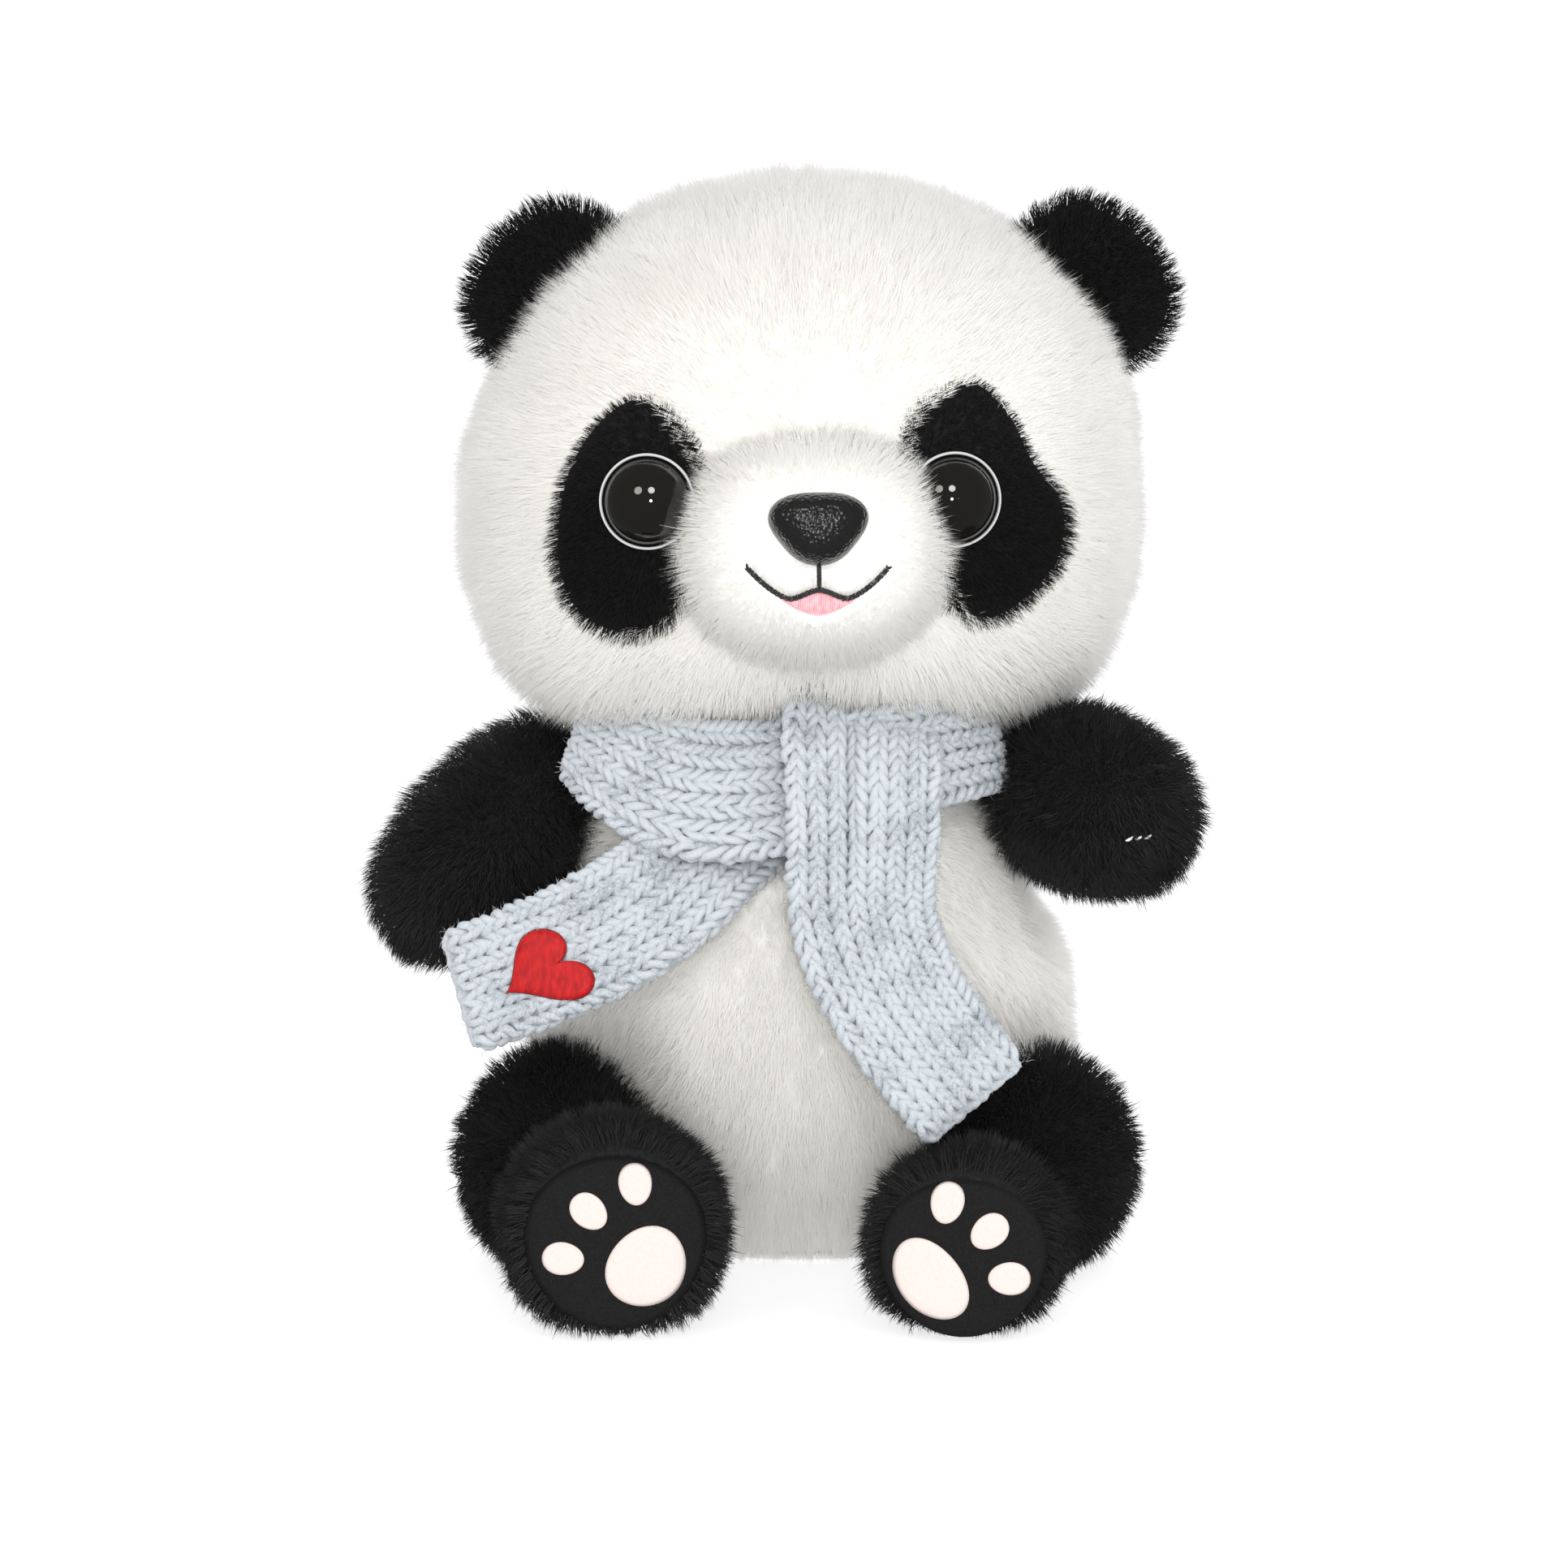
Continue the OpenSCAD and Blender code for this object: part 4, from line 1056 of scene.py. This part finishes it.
def near_scarf(p, reach):
    """1 right under the scarf, where it presses the pile down, and 0 from reach on."""
    away = np.array([scarf_tree.find(q)[2] for q in p])
    return 1 - smooth((away - 2) / (reach - 2))


def make_torso():
    form = Form(torso_place, 96, 30)

    def comb(p):
        return columns_of(p[:, 0] / 90, p[:, 1] / 90, -1.0 + 0 * p[:, 0])

    def keep(p):
        return (p[:, 2] < 133) & (p[:, 2] > SEAT_THICK + 0.8)

    def share(p):
        low = smooth((p[:, 2] - 2) / 14)
        return (0.75 + 0.25 * low) * (1 - 0.6 * near_scarf(p, 9))

    for part in ("front", "back"):
        skin = form.half(f"torso_{part}_pelt", part, 2.6, WHITE_BACKING, "torso")
        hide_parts(f"torso_{part}_skin")
        grow(f"torso_{part}_pile", form, part, LONG_WHITE, "torso", comb,
             51 + (part == "back"), keep, share)


def make_seat():
    """Oval seat cloth with a soft rolled edge, flat where the panda sits on it."""
    def place(d, inset):
        angle, size = np.arctan2(d[:, 2], d[:, 0]), np.hypot(d[:, 0], d[:, 2]) ** 0.7
        z = np.where(d[:, 1] < 0, 0.0, SEAT_THICK + 0.6) + np.where(d[:, 1] < 0, 0.8, -0.8) * size ** 8
        return columns_of(44 * size * np.cos(angle), -38 * size * np.sin(angle), z)
    form = Form(place, 72, 12)
    skin = form.whole("seat_cloth", WHITE_BACKING, "torso")
    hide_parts("seat_panel")


def make_tail():
    form = Form(tail_place, 40, 12)
    skin = form.whole("tail_pelt", WHITE_BACKING, "tail")
    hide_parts("tail_skin")
    grow("tail_pile", form, "all", LONG_WHITE, "tail", lambda p: p - [0, 50, 26], 61)


def make_arm(label, side):
    form = Form(arm_place(side), 56, 18)
    body = f"arm_{label}"
    along = ARM_ALONG[side]

    def keep(p):
        gap = mirrored(p, side) @ SHOULDER_OUT - SHOULDER_OUT @ SHOULDER_AT
        return gap > JOINT_GAP + 0.8

    for part, panel in (("inner", "front"), ("outer", "back")):
        skin = form.half(f"arm_{part}_pelt_{label}", panel, 2.6, BLACK_BACKING, body)
        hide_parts(f"arm_{part}_skin_{label}")
        grow(f"arm_{part}_pile_{label}", form, panel, LONG_BLACK, body,
             lambda p: along + [0, 0, -0.5], 71 + side + (10 if part == "outer" else 0), keep)
    if side == LEFT:
        make_paw_stitches()


def make_paw_stitches():
    """Three tacks of white thread where the paw's tip is gathered."""
    parts = []
    across = unit(np.cross(ARM_ALONG[LEFT], Z_AXIS))
    for k in (-1, 0, 1):
        middle = ARM_ROOT[LEFT] + ARM_ALONG[LEFT] * 69.2 + across * (6 + 2.6 * k) - Z_AXIS
        t = np.linspace(-1, 1, 7)
        path = middle + columns_of(0.9 * t, -1.2 * (1 - t * t), 0.5 * t)
        parts.append(tube_mesh(tube_rings(path, 0.35 * np.sqrt(np.maximum(0.1, 1 - t * t)), 8,
                                          start=Y_AXIS)))
    points, faces = joined(parts)
    piece = mesh_piece("paw_tacks", points, faces, WHITE_THREAD, "arm_left")
    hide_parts("paw_stitches")


def sole_frame(side):
    middle = leg_middle(np.array([1.0]), side)[0]
    return placed(mirrored(middle, side), mirrored(SOLE_OUT, side))


PAW_TURN = {LEFT: -50, RIGHT: -45}
HEEL_HALF = {LEFT: [11.6, 7.8], RIGHT: [10.8, 9.4]}
TOES_AT = {LEFT: [11.9, 8.6], RIGHT: [12.6, 9.4]}


def make_filling(name, place, body):
    """Loose fibre inside a skin, so a skin that differs from the CAD's stays full and closed over it."""
    form = Form(lambda d, inset: place(d, 4.2), 32, 10)
    filling = form.whole(f"{name}_fibre", FIBRE, body)
    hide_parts(name)


def make_leg(label, side):
    form = Form(leg_place(side), 64, 26)
    body = f"leg_{label}"
    axes = sole_frame(side)

    def keep(p):
        away = p - axes[3]
        height = away @ axes[2]
        off_axis = np.linalg.norm(away - height[:, None] * axes[2], axis=1)
        on_sole = (off_axis < SOLE_R[side] - 1) & (height > -3)
        gap = mirrored(p, side) @ HIP_OUT - HIP_OUT @ HIP_AT
        return ~on_sole & (gap > JOINT_GAP + 0.8) & (p[:, 2] > 1.2)

    def comb(p):
        away = p - axes[3]
        outward = away - (away @ axes[2])[:, None] * axes[2]
        near = smooth(1 + (away @ axes[2]) / 14)[:, None]
        return mirrored(SOLE_OUT, side) * (1 - 0.9 * near) + unit(outward) * near * 0.9 - Z_AXIS * 0.25

    def share(p):
        low = smooth((p[:, 2] - 0.5) / 9)
        return (0.3 + 0.7 * low) * (1 - 0.45 * near_scarf(p, 9))

    skin = form.whole(f"leg_pelt_{label}", BLACK_BACKING, body)
    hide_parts(f"leg_skin_{label}")
    grow(f"leg_pile_{label}", form, "all", LONG_BLACK, body, comb, 91 + side, keep, share)
    make_filling(f"leg_stuffing_{label}", leg_place(side), body)
    make_sole(label, side, axes, body)


def cushioned(axes, outline, rise, columns=48, rows=8, soft=0.35):
    """A low pillow on a flat frame: outline(angle) is its edge, as (x, y)."""
    angle = np.arange(columns) * 2 * math.pi / columns
    edge = outline(angle)
    middle = edge.mean(0)
    rings = []
    for k in range(rows):
        t = 1 - k / rows
        height = rise * (1 - t ** 6) ** soft if k else 0.0
        rings.append(columns_of(*(middle + (edge - middle) * t).T, height))
    top = np.concatenate([*rings, [[*middle, rise]]])
    under = np.array([[*middle, -0.3]])
    points = np.concatenate([top, under])
    count = columns * rows
    return (in_frame(axes, points), ring_quads(columns, rows),
            np.concatenate([fan(columns, count - columns, count), fan(columns, 0, count + 1, flip=True)]))


def ellipse_at(x, y, half_w, half_h, turn=0.0):
    turn = math.radians(turn)

    def outline(angle):
        a, b = half_w * np.cos(angle), half_h * np.sin(angle) * (1 - 0.08 * np.sin(angle))
        return columns_of(x + a * math.cos(turn) - b * math.sin(turn),
                          y + a * math.sin(turn) + b * math.cos(turn))
    return outline


def make_sole(label, side, axes, body):
    points, quads, fans = cushioned(axes, ellipse_at(0, 0, SOLE_R[side], SOLE_R[side] - 1), 1.6, 72, 14)
    disc = mesh_piece(f"sole_velour_{label}", points, [quads, fans], VELOUR, body)
    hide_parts(f"sole_disc_{label}")
    turn = math.radians(PAW_TURN[side] * side)
    lifted = [*axes[:3], axes[3] + axes[2] * 1.25]
    x_way = lifted[0] * math.cos(turn) + lifted[1] * math.sin(turn)
    y_way = lifted[1] * math.cos(turn) - lifted[0] * math.sin(turn)
    lifted = [x_way, y_way, lifted[2], lifted[3]]
    heel = cushioned(lifted, ellipse_at(0, -9.5, *HEEL_HALF[side]), 1.0)
    piece = mesh_piece(f"heel_velour_{label}", heel[0], heel[1:], PAD_VELOUR, body)
    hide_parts(f"heel_pad_{label}")
    wide, high = TOES_AT[side]
    toes = [cushioned(lifted, ellipse_at(wide * k, high - 3.6 * abs(k), 4.2, 5.3, -38 * k), 0.9)
            for k in (-1, 0, 1)]
    points, faces = joined(toes)
    piece = mesh_piece(f"toe_velour_{label}", points, faces, PAD_VELOUR, body)
    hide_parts(f"toe_pads_{label}")


# ---- Scarf ----

COLUMN_PITCH = 4.7
ROW_PITCH = 3.35
YARN_R = 1.1
CLOTH_HALF_THICK = 1.0
COURSES_A_PIECE = 28

# One stitch of a course, seen from the front: columns across, rows up, and height over the cloth's middle
STITCH = np.array([
    [0.00, -0.25, -0.90], [0.32, -0.32, -0.60], [0.46, -0.05, 0.20], [0.37, 0.40, 0.85], [0.23, 0.88, 0.85],
    [0.11, 1.30, 0.10], [0.25, 1.58, -0.80], [0.50, 1.66, -0.90], [0.75, 1.58, -0.80], [0.89, 1.30, 0.10],
    [0.77, 0.88, 0.85], [0.63, 0.40, 0.85], [0.54, -0.05, 0.20], [0.68, -0.32, -0.60]])
SAMPLES_A_POINT = 2


class Ribbon:
    """A flat knitted tube along a centre line.

    at(t, around, height) gives points: t runs along it from 0 to 1, around runs once round
    its flat section from 0 to 1, and height is measured out of the cloth.
    """

    def __init__(self, centre, across, half_width, closed=False, relief=None):
        self.centre, self.across, self.half_width, self.closed = centre, across, half_width, closed
        self.relief = relief
        t = np.linspace(0, 1, 200)
        steps = np.linalg.norm(np.diff(centre(t), axis=0), axis=1)
        self.length = steps.sum()
        self.travelled = np.append(0, np.cumsum(steps)) / self.length

    def frame_at(self, t):
        t = np.interp(t % 1 if self.closed else t, self.travelled, np.linspace(0, 1, 200))
        middle = self.centre(t)
        step = 0.004
        if self.closed:
            ahead = unit(self.centre((t + step) % 1) - self.centre((t - step) % 1))
        else:
            ahead = unit(self.centre(np.minimum(t + step, 1)) - self.centre(np.maximum(t - step, 0)))
        across = self.across(middle, ahead)
        across = unit(across - dots(across, ahead)[..., None] * ahead)
        return middle, across, np.cross(across, ahead), self.half_width(t)

    def at(self, t, around, height):
        middle, across, out, half = self.frame_at(t)
        # Flat section with round edges: a straight front and back joined by half circles
        straight = 2 * (half - CLOTH_HALF_THICK)
        bend = math.pi * CLOTH_HALF_THICK
        travel = (around % 1) * 2 * (straight + bend)
        on_front, on_first = travel < straight, travel < straight + bend
        on_back = travel < 2 * straight + bend
        first = (travel - straight) / CLOTH_HALF_THICK
        second = (travel - 2 * straight - bend) / CLOTH_HALF_THICK
        edge = half - CLOTH_HALF_THICK
        angle = np.select([on_front, on_first, on_back], [0 * travel, first, math.pi + 0 * travel],
                          math.pi + second)
        x = np.select([on_front, on_first, on_back],
                      [travel - edge, edge + 0 * travel, edge - (travel - straight - bend)], -edge)
        normal = columns_of(np.sin(angle), np.cos(angle))
        flat = columns_of(x, 0 * x) + normal * (CLOTH_HALF_THICK + height)[..., None]
        if self.relief:
            flat = flat + columns_of(0 * x, self.relief(t, x))
        return middle + across * flat[..., :1] + out * flat[..., 1:]

    def perimeter(self):
        half = float(np.mean(self.half_width(np.linspace(0, 1, 20))))
        return 4 * (half - CLOTH_HALF_THICK) + 2 * math.pi * CLOTH_HALF_THICK


def knit(ribbon, rng, shift=0.25):
    """Yarn of every course of a ribbon, as closed tubes: (points, quads) parts."""
    columns = max(6, round(ribbon.perimeter() / COLUMN_PITCH))
    rows = max(2, round(ribbon.length / ROW_PITCH))
    stitch = np.concatenate([STITCH + [k, 0, 0] for k in range(columns)])
    loop = catmull_open_loop(stitch, columns)
    parts = []
    for row in range(rows):
        wander = rng.normal(0, 0.065, (columns * len(STITCH), 3)) * [0.8, 1, 1.5]
        wander = catmull(wander, SAMPLES_A_POINT, True)
        around = (loop[:, 0] + wander[:, 0] + shift) / columns
        along = (row + 0.2 + loop[:, 1] + wander[:, 1]) / rows
        along = along if ribbon.closed else np.clip(along * (rows / (rows + 1.2)) + 0.004, 0.002, 0.998)
        height = (loop[:, 2] + wander[:, 2]) * 1.25
        path = ribbon.at(along, around, height)
        parts.append(closed_tube(path, YARN_R, 8, 3, 0.1))
    return parts


def catmull_open_loop(stitch, columns):
    """A whole course: stitches side by side that join up round the ribbon."""
    wide = np.concatenate([stitch[-3:] - [columns, 0, 0], stitch, stitch[:3] + [columns, 0, 0]])
    curve = catmull(wide, SAMPLES_A_POINT, False)
    return curve[3 * SAMPLES_A_POINT:-3 * SAMPLES_A_POINT]


def closed_tube(path, radius, sides, lobes, depth):
    """A ring of yarn. Its plies show as lobes that wind round it."""
    ahead = unit(np.roll(path, -1, 0) - np.roll(path, 1, 0))
    side = unit(np.cross(ahead[0], unit(path[0] - path.mean(0))))
    angle = np.arange(sides) * 2 * math.pi / sides
    rings = np.empty((len(path), sides, 3))
    for k in range(len(path)):
        side = unit(side - (side @ ahead[k]) * ahead[k])
        up = np.cross(ahead[k], side)
        swell = radius * (1 + depth * np.cos(lobes * angle - 0.9 * k))
        rings[k] = path[k] + (np.cos(angle) * swell)[:, None] * side + (np.sin(angle) * swell)[:, None] * up
    count = len(path) * sides
    # The last ring is turned against the first, so each side joins the nearest one
    first, last = rings[0], rings[-1]
    turn = int(np.argmin([np.linalg.norm(np.roll(first, -k, 0) - last) for k in range(sides)]))
    quads = ring_quads(sides, len(path))
    a = count - sides + np.arange(sides)
    b = count - sides + (np.arange(sides) + 1) % sides
    c, d = (np.arange(sides) + 1 + turn) % sides, (np.arange(sides) + turn) % sides
    return rings.reshape(-1, 3), np.concatenate([quads, np.stack([a, b, c, d], axis=1)])


def fuzz(ribbon, count, rng):
    """Loose fibres that stand off the yarn."""
    t, around = rng.random(count), rng.random(count)
    base = ribbon.at(t, around, np.full(count, 1.2))
    top = ribbon.at(t, around, np.full(count, 3.2))
    out = unit(top - base)
    bend = unit(rng.normal(0, 1, (count, 3)) + out * 0.5)
    length = rng.uniform(0.9, 2.2, count)[:, None]
    roots = base + out * 0.4
    middles = roots + unit(out + bend * 0.8) * length * 0.6
    tips = middles + unit(out * 0.3 + bend) * length * 0.6
    return strand_mesh(roots, middles, tips, out, np.full(count, 0.14), 0.6, rng)


def ribbon_core(ribbon, stations=80, columns=36):
    """The cloth's own body: a thin closed tube, flat as the ribbon is."""
    t = np.linspace(0, 1, stations, endpoint=not ribbon.closed)
    around = np.arange(columns) / columns
    points = ribbon.at(np.repeat(t, columns), np.tile(around, stations), np.zeros(stations * columns))
    if ribbon.closed:
        return points, [ring_quads(columns, stations + 1) % (stations * columns)]
    quads, ends = ring_quads(columns, stations), lids(columns, (stations - 1) * columns)
    return points, [quads, ends]


def piecewise(curves):
    """Centre line through several Bezier curves laid end to end, evened out."""
    points = np.concatenate([bezier(c, np.linspace(0, 1, 40)) for c in curves])
    for _ in range(12):
        points[1:-1] = (points[:-2] + 2 * points[1:-1] + points[2:]) / 4
    at = np.linspace(0, 1, len(points))

    def centre(t):
        return columns_of(*(np.interp(t, at, points[:, k]) for k in range(3)))
    return centre


def hanging_across(middle, ahead):
    toward = columns_of(middle[..., 0] / 90, -1.0 + 0 * middle[..., 0], 0.15 + 0 * middle[..., 0])
    return unit(np.cross(ahead, toward))


KNOT_CURVE = [[14, -36, 141], [15, -54, 146], [15, -66, 135], [15, -65, 112]]
LONG_END_CURVE = [[15, -65, 110.4], [12, -66.5, 88], [25, -70, 72], [43, -76, 52]]
HEART_ROOT_CURVE = [[-2, -43, 132], [-8, -46, 124], [-17, -48.5, 116], [-25, -53, 109]]
HEART_END_CURVE = [[-25, -53, 109], [-37, -61, 94], [-60, -66, 86], [-84, -60, 76]]


def neck_angle(t):
    return np.asarray(t, float) * 2 * math.pi + math.pi / 2


def neck_fold(t):
    """1 at the panda's right front, where the band is spread wide and hangs low, 0 elsewhere."""
    return hump(neck_angle(t), math.pi * 1.42, 0.55)


def neck_centre(t):
    """The band round the neck: it starts behind and runs round by the panda's right side to the front."""
    angle = neck_angle(t)
    x, y = np.cos(angle), np.sin(angle)
    front = np.maximum(0, -y)
    z = 134 + 2.5 * front ** 2 - 11 * neck_fold(t) + 5 * hump(angle, math.pi * 1.12, 0.5)
    p = columns_of(np.where(x < 0, 61, 54) * power(x, 0.8), np.where(y < 0, 56, 47) * power(y, 0.8), z)
    side = np.where(p[..., :1] < 0, RIGHT, LEFT) * np.array([1.0, 0, 0]) + [0, 1, 1]
    q = p * side
    by_arm = smooth((q[..., 1] + 35) / 13) * smooth((34 - q[..., 1]) / 16)
    q = mix(q, pressed(q, SHOULDER_OUT, SHOULDER_OUT @ SHOULDER_AT - 4.5), by_arm[..., None])
    return q * side


def neck_across(middle, _ahead):
    outward = unit(middle * [1, 1, 0])
    slope = outward * (0.2 + 0.25 * np.maximum(0, -outward[..., 1:2])) - Z_AXIS
    return -unit(slope)


SCARF_HALF_WIDTH = 18.5


def lengthwise_fold(t, x):
    """Deep groove down the knot's part of the long strip, and soft waves beside it."""
    fade = 1 - smooth((t - 0.3) / 0.4)
    return fade * (-2.6 * hump(x, 3.5, 1.7) + 0.9 * hump(x, 8.5, 3.5) + 0.9 * hump(x, -3, 4))


def make_ribbons():
    long_strip = Ribbon(piecewise([KNOT_CURVE, LONG_END_CURVE]), hanging_across,
                        lambda t: mix(SCARF_HALF_WIDTH, 15.2, smooth(t * 1.2 - 0.2)),
                        relief=lengthwise_fold)
    heart_strip = Ribbon(piecewise([HEART_ROOT_CURVE, HEART_END_CURVE]), hanging_across,
                         lambda t: mix(15.6, 14.2, t) - 3.0 * hump(t, 0, 0.2))
    neck_band = Ribbon(neck_centre, neck_across, lambda t: 12 + 4.5 * neck_fold(t), closed=True)
    return long_strip, heart_strip, neck_band


def make_ribbon(name, ribbon, replaced, seed, fibres):
    rng = np.random.default_rng(seed)
    points, faces = ribbon_core(ribbon)
    pieces = [mesh_piece(f"{name}_cloth", points, faces, YARN)]
    courses = knit(ribbon, rng)
    lengths = math.ceil(len(courses) / COURSES_A_PIECE)
    for number in range(lengths):
        first, end = number * len(courses) // lengths, (number + 1) * len(courses) // lengths
        points, faces = joined(courses[first:end])
        pieces.append(mesh_piece(f"{name}_yarn_{number + 1}", points, faces, YARN))
    points, faces, shade = fuzz(ribbon, fibres, rng)
    pieces.append(mesh_piece(f"{name}_fuzz", points, faces, YARN, None, shade))
    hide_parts(*replaced)
    return pieces


def make_scarf(long_strip, heart_strip, neck_band):
    pieces = make_ribbon("neck_band", neck_band, ["scarf_loop"],
                         101, 9000)
    for piece in pieces:
        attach(piece, "torso")
    pieces = make_ribbon("long_strip", long_strip, ["scarf_knot", "scarf_long_end"],
                         102, 6000)
    for piece in pieces:
        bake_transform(piece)
    pieces = make_ribbon("heart_strip", heart_strip, ["scarf_heart_end"],
                         103, 5000)
    for piece in pieces:
        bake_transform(piece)
    make_heart(heart_strip)


# The heart: its place along the strip from 0 to 1, its turn in degrees and its size
HEART_PLACE = 0.76
HEART_TURN = -52
HEART_SIZE = 0.76


def make_heart(heart_strip):
    """Red satin-stitch heart sewn on the short end."""
    middle, _, out, _ = (np.asarray(v) for v in heart_strip.frame_at(HEART_PLACE))
    up = unit(Z_AXIS - out[2] * out)
    # The strip's end curls away a little, so the heart looks lower than it is wide
    axes = [np.cross(up, out), up * 0.8, out, middle + out * 3.3 - up * 3.5]
    turn = math.radians(HEART_TURN)
    axes = [axes[0] * math.cos(turn) + axes[1] * math.sin(turn),
            axes[1] * math.cos(turn) - axes[0] * math.sin(turn), axes[2], axes[3]]

    def outline(angle):
        return HEART_SIZE * columns_of(16 * np.sin(angle) ** 3,
                                 13 * np.cos(angle) - 5 * np.cos(2 * angle) - 2 * np.cos(3 * angle)
                                 - np.cos(4 * angle))[::-1]
    points, quads, fans = cushioned(axes, outline, 1.1, 96, 12)
    piece = mesh_piece("heart_embroidery", points, [quads, fans], RED_SATIN, "heart_end")
    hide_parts("heart_patch")


# ---- CAD nodes that stay ----

def paint_nodes():
    """Fillings, pouch and washers keep their CAD shape, and get their own material."""
    for name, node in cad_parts.items():
        material = FIBRE
        if "washer" in name:
            material = WASHER
        elif name == "bean_bag":
            material = POUCH
        node.data.materials.clear()
        node.data.materials.append(material)


# ---- Stage ----

def make_stage():
    # A lit table: most of its light is its own, so the shadows on it are faint
    floor_material = nap_material("floor_table", (0.29, 0.29, 0.3), (0.31, 0.31, 0.32),
                                  0.8, 0.0, 60, 0.00002, 0.0)
    shader = floor_material.node_tree.nodes["Principled BSDF"]
    shader.inputs["Emission Color"].default_value = (1, 1, 1, 1)
    shader.inputs["Emission Strength"].default_value = 0.78
    size = 8000
    floor = mesh_piece("floor", np.array([[-size, -size, -0.3], [size, -size, -0.3], [size, size, -0.3],
                                          [-size, size, -0.3]]), [[[0, 1, 2, 3]]], floor_material)
    floor.visible_glossy = False
    world = bpy.data.worlds.new("studio")
    bpy.context.scene.world = world
    world.use_nodes = True
    tree = world.node_tree
    background = tree.nodes["Background"]
    background.inputs["Color"].default_value = (1, 1, 1, 1)
    # Diffuse light is even and bright; polished parts mirror a darker room, so they stay black
    path = tree.nodes.new("ShaderNodeLightPath")
    strength = tree.nodes.new("ShaderNodeMath")
    strength.operation = "MULTIPLY"
    tree.links.new(value_range(tree, path.outputs["Is Glossy Ray"], 1.1, 0.1), strength.inputs[0])
    tree.links.new(value_range(tree, path.outputs["Is Diffuse Ray"], 1.0, 1.14), strength.inputs[1])
    tree.links.new(strength.outputs[0], background.inputs["Strength"])


def soft_light(name, place, target, size, power_watts, colour, mirrored_in_gloss=False):
    light = bpy.data.lights.new(name, "AREA")
    light.shape = "DISK"
    light.size = size
    light.energy = power_watts
    light.color = colour
    lamp = bpy.data.objects.new(name, light)
    lamp.location = place
    lamp.rotation_euler = (Vector(target) - Vector(place)).to_track_quat("-Z", "Y").to_euler()
    lamp.visible_glossy = mirrored_in_gloss
    bpy.context.scene.collection.objects.link(lamp)


def make_lights():
    soft_light("key", (-0.7, -1.2, 1.0), (0, 0, 0.13), 0.5, 2.8, (1.0, 0.96, 0.89), True)
    soft_light("fill", (1.0, -1.0, 0.6), (0, 0, 0.12), 0.6, 2.5, (0.95, 0.98, 1.0))
    soft_light("front", (0, -1.6, 0.05), (0, 0, 0.06), 0.9, 6.0, (1, 0.98, 0.94))
    soft_light("gleam", (0.1, -1.1, 0.9), (0, 0, 0.17), 0.35, 2.5, (1, 1, 1), True)
    soft_light("spark", (0.1, -1.5, 0.4), (0, 0, 0.17), 0.15, 3.0, (1, 1, 1), True)


def make_camera():
    distance, elevation, lens, sensor = 1.3, math.radians(12), 117.0, 36.0
    target = Vector((-0.004, 0, 0.1155))
    camera = bpy.data.cameras.new("camera")
    camera.lens, camera.sensor_width = lens, sensor
    eye = bpy.data.objects.new("camera", camera)
    back = Vector((0, -math.cos(elevation), math.sin(elevation)))
    eye.location = target + back * distance
    eye.rotation_euler = (-back).to_track_quat("-Z", "Y").to_euler()
    bpy.context.scene.collection.objects.link(eye)
    bpy.context.scene.camera = eye
    bpy.context.scene.view_settings.view_transform = "Standard"


# ---- The whole ----

make_camera()
make_stage()
make_lights()
paint_nodes()
ribbons = make_ribbons()
scarf_points = np.concatenate([ribbon_core(r, 60, 24)[0] for r in ribbons])
scarf_tree = kdtree.KDTree(len(scarf_points))
for place, point in enumerate(scarf_points):
    scarf_tree.insert(point, place)
scarf_tree.balance()
make_scarf(*ribbons)
make_head()
make_muzzle()
for label, side in SIDES.items():
    make_patch(label, side)
    make_eye(label, side)
    make_ear(label, side)
    make_arm(label, side)
    make_leg(label, side)
make_nose()
make_mouth()
make_torso()
make_seat()
make_tail()
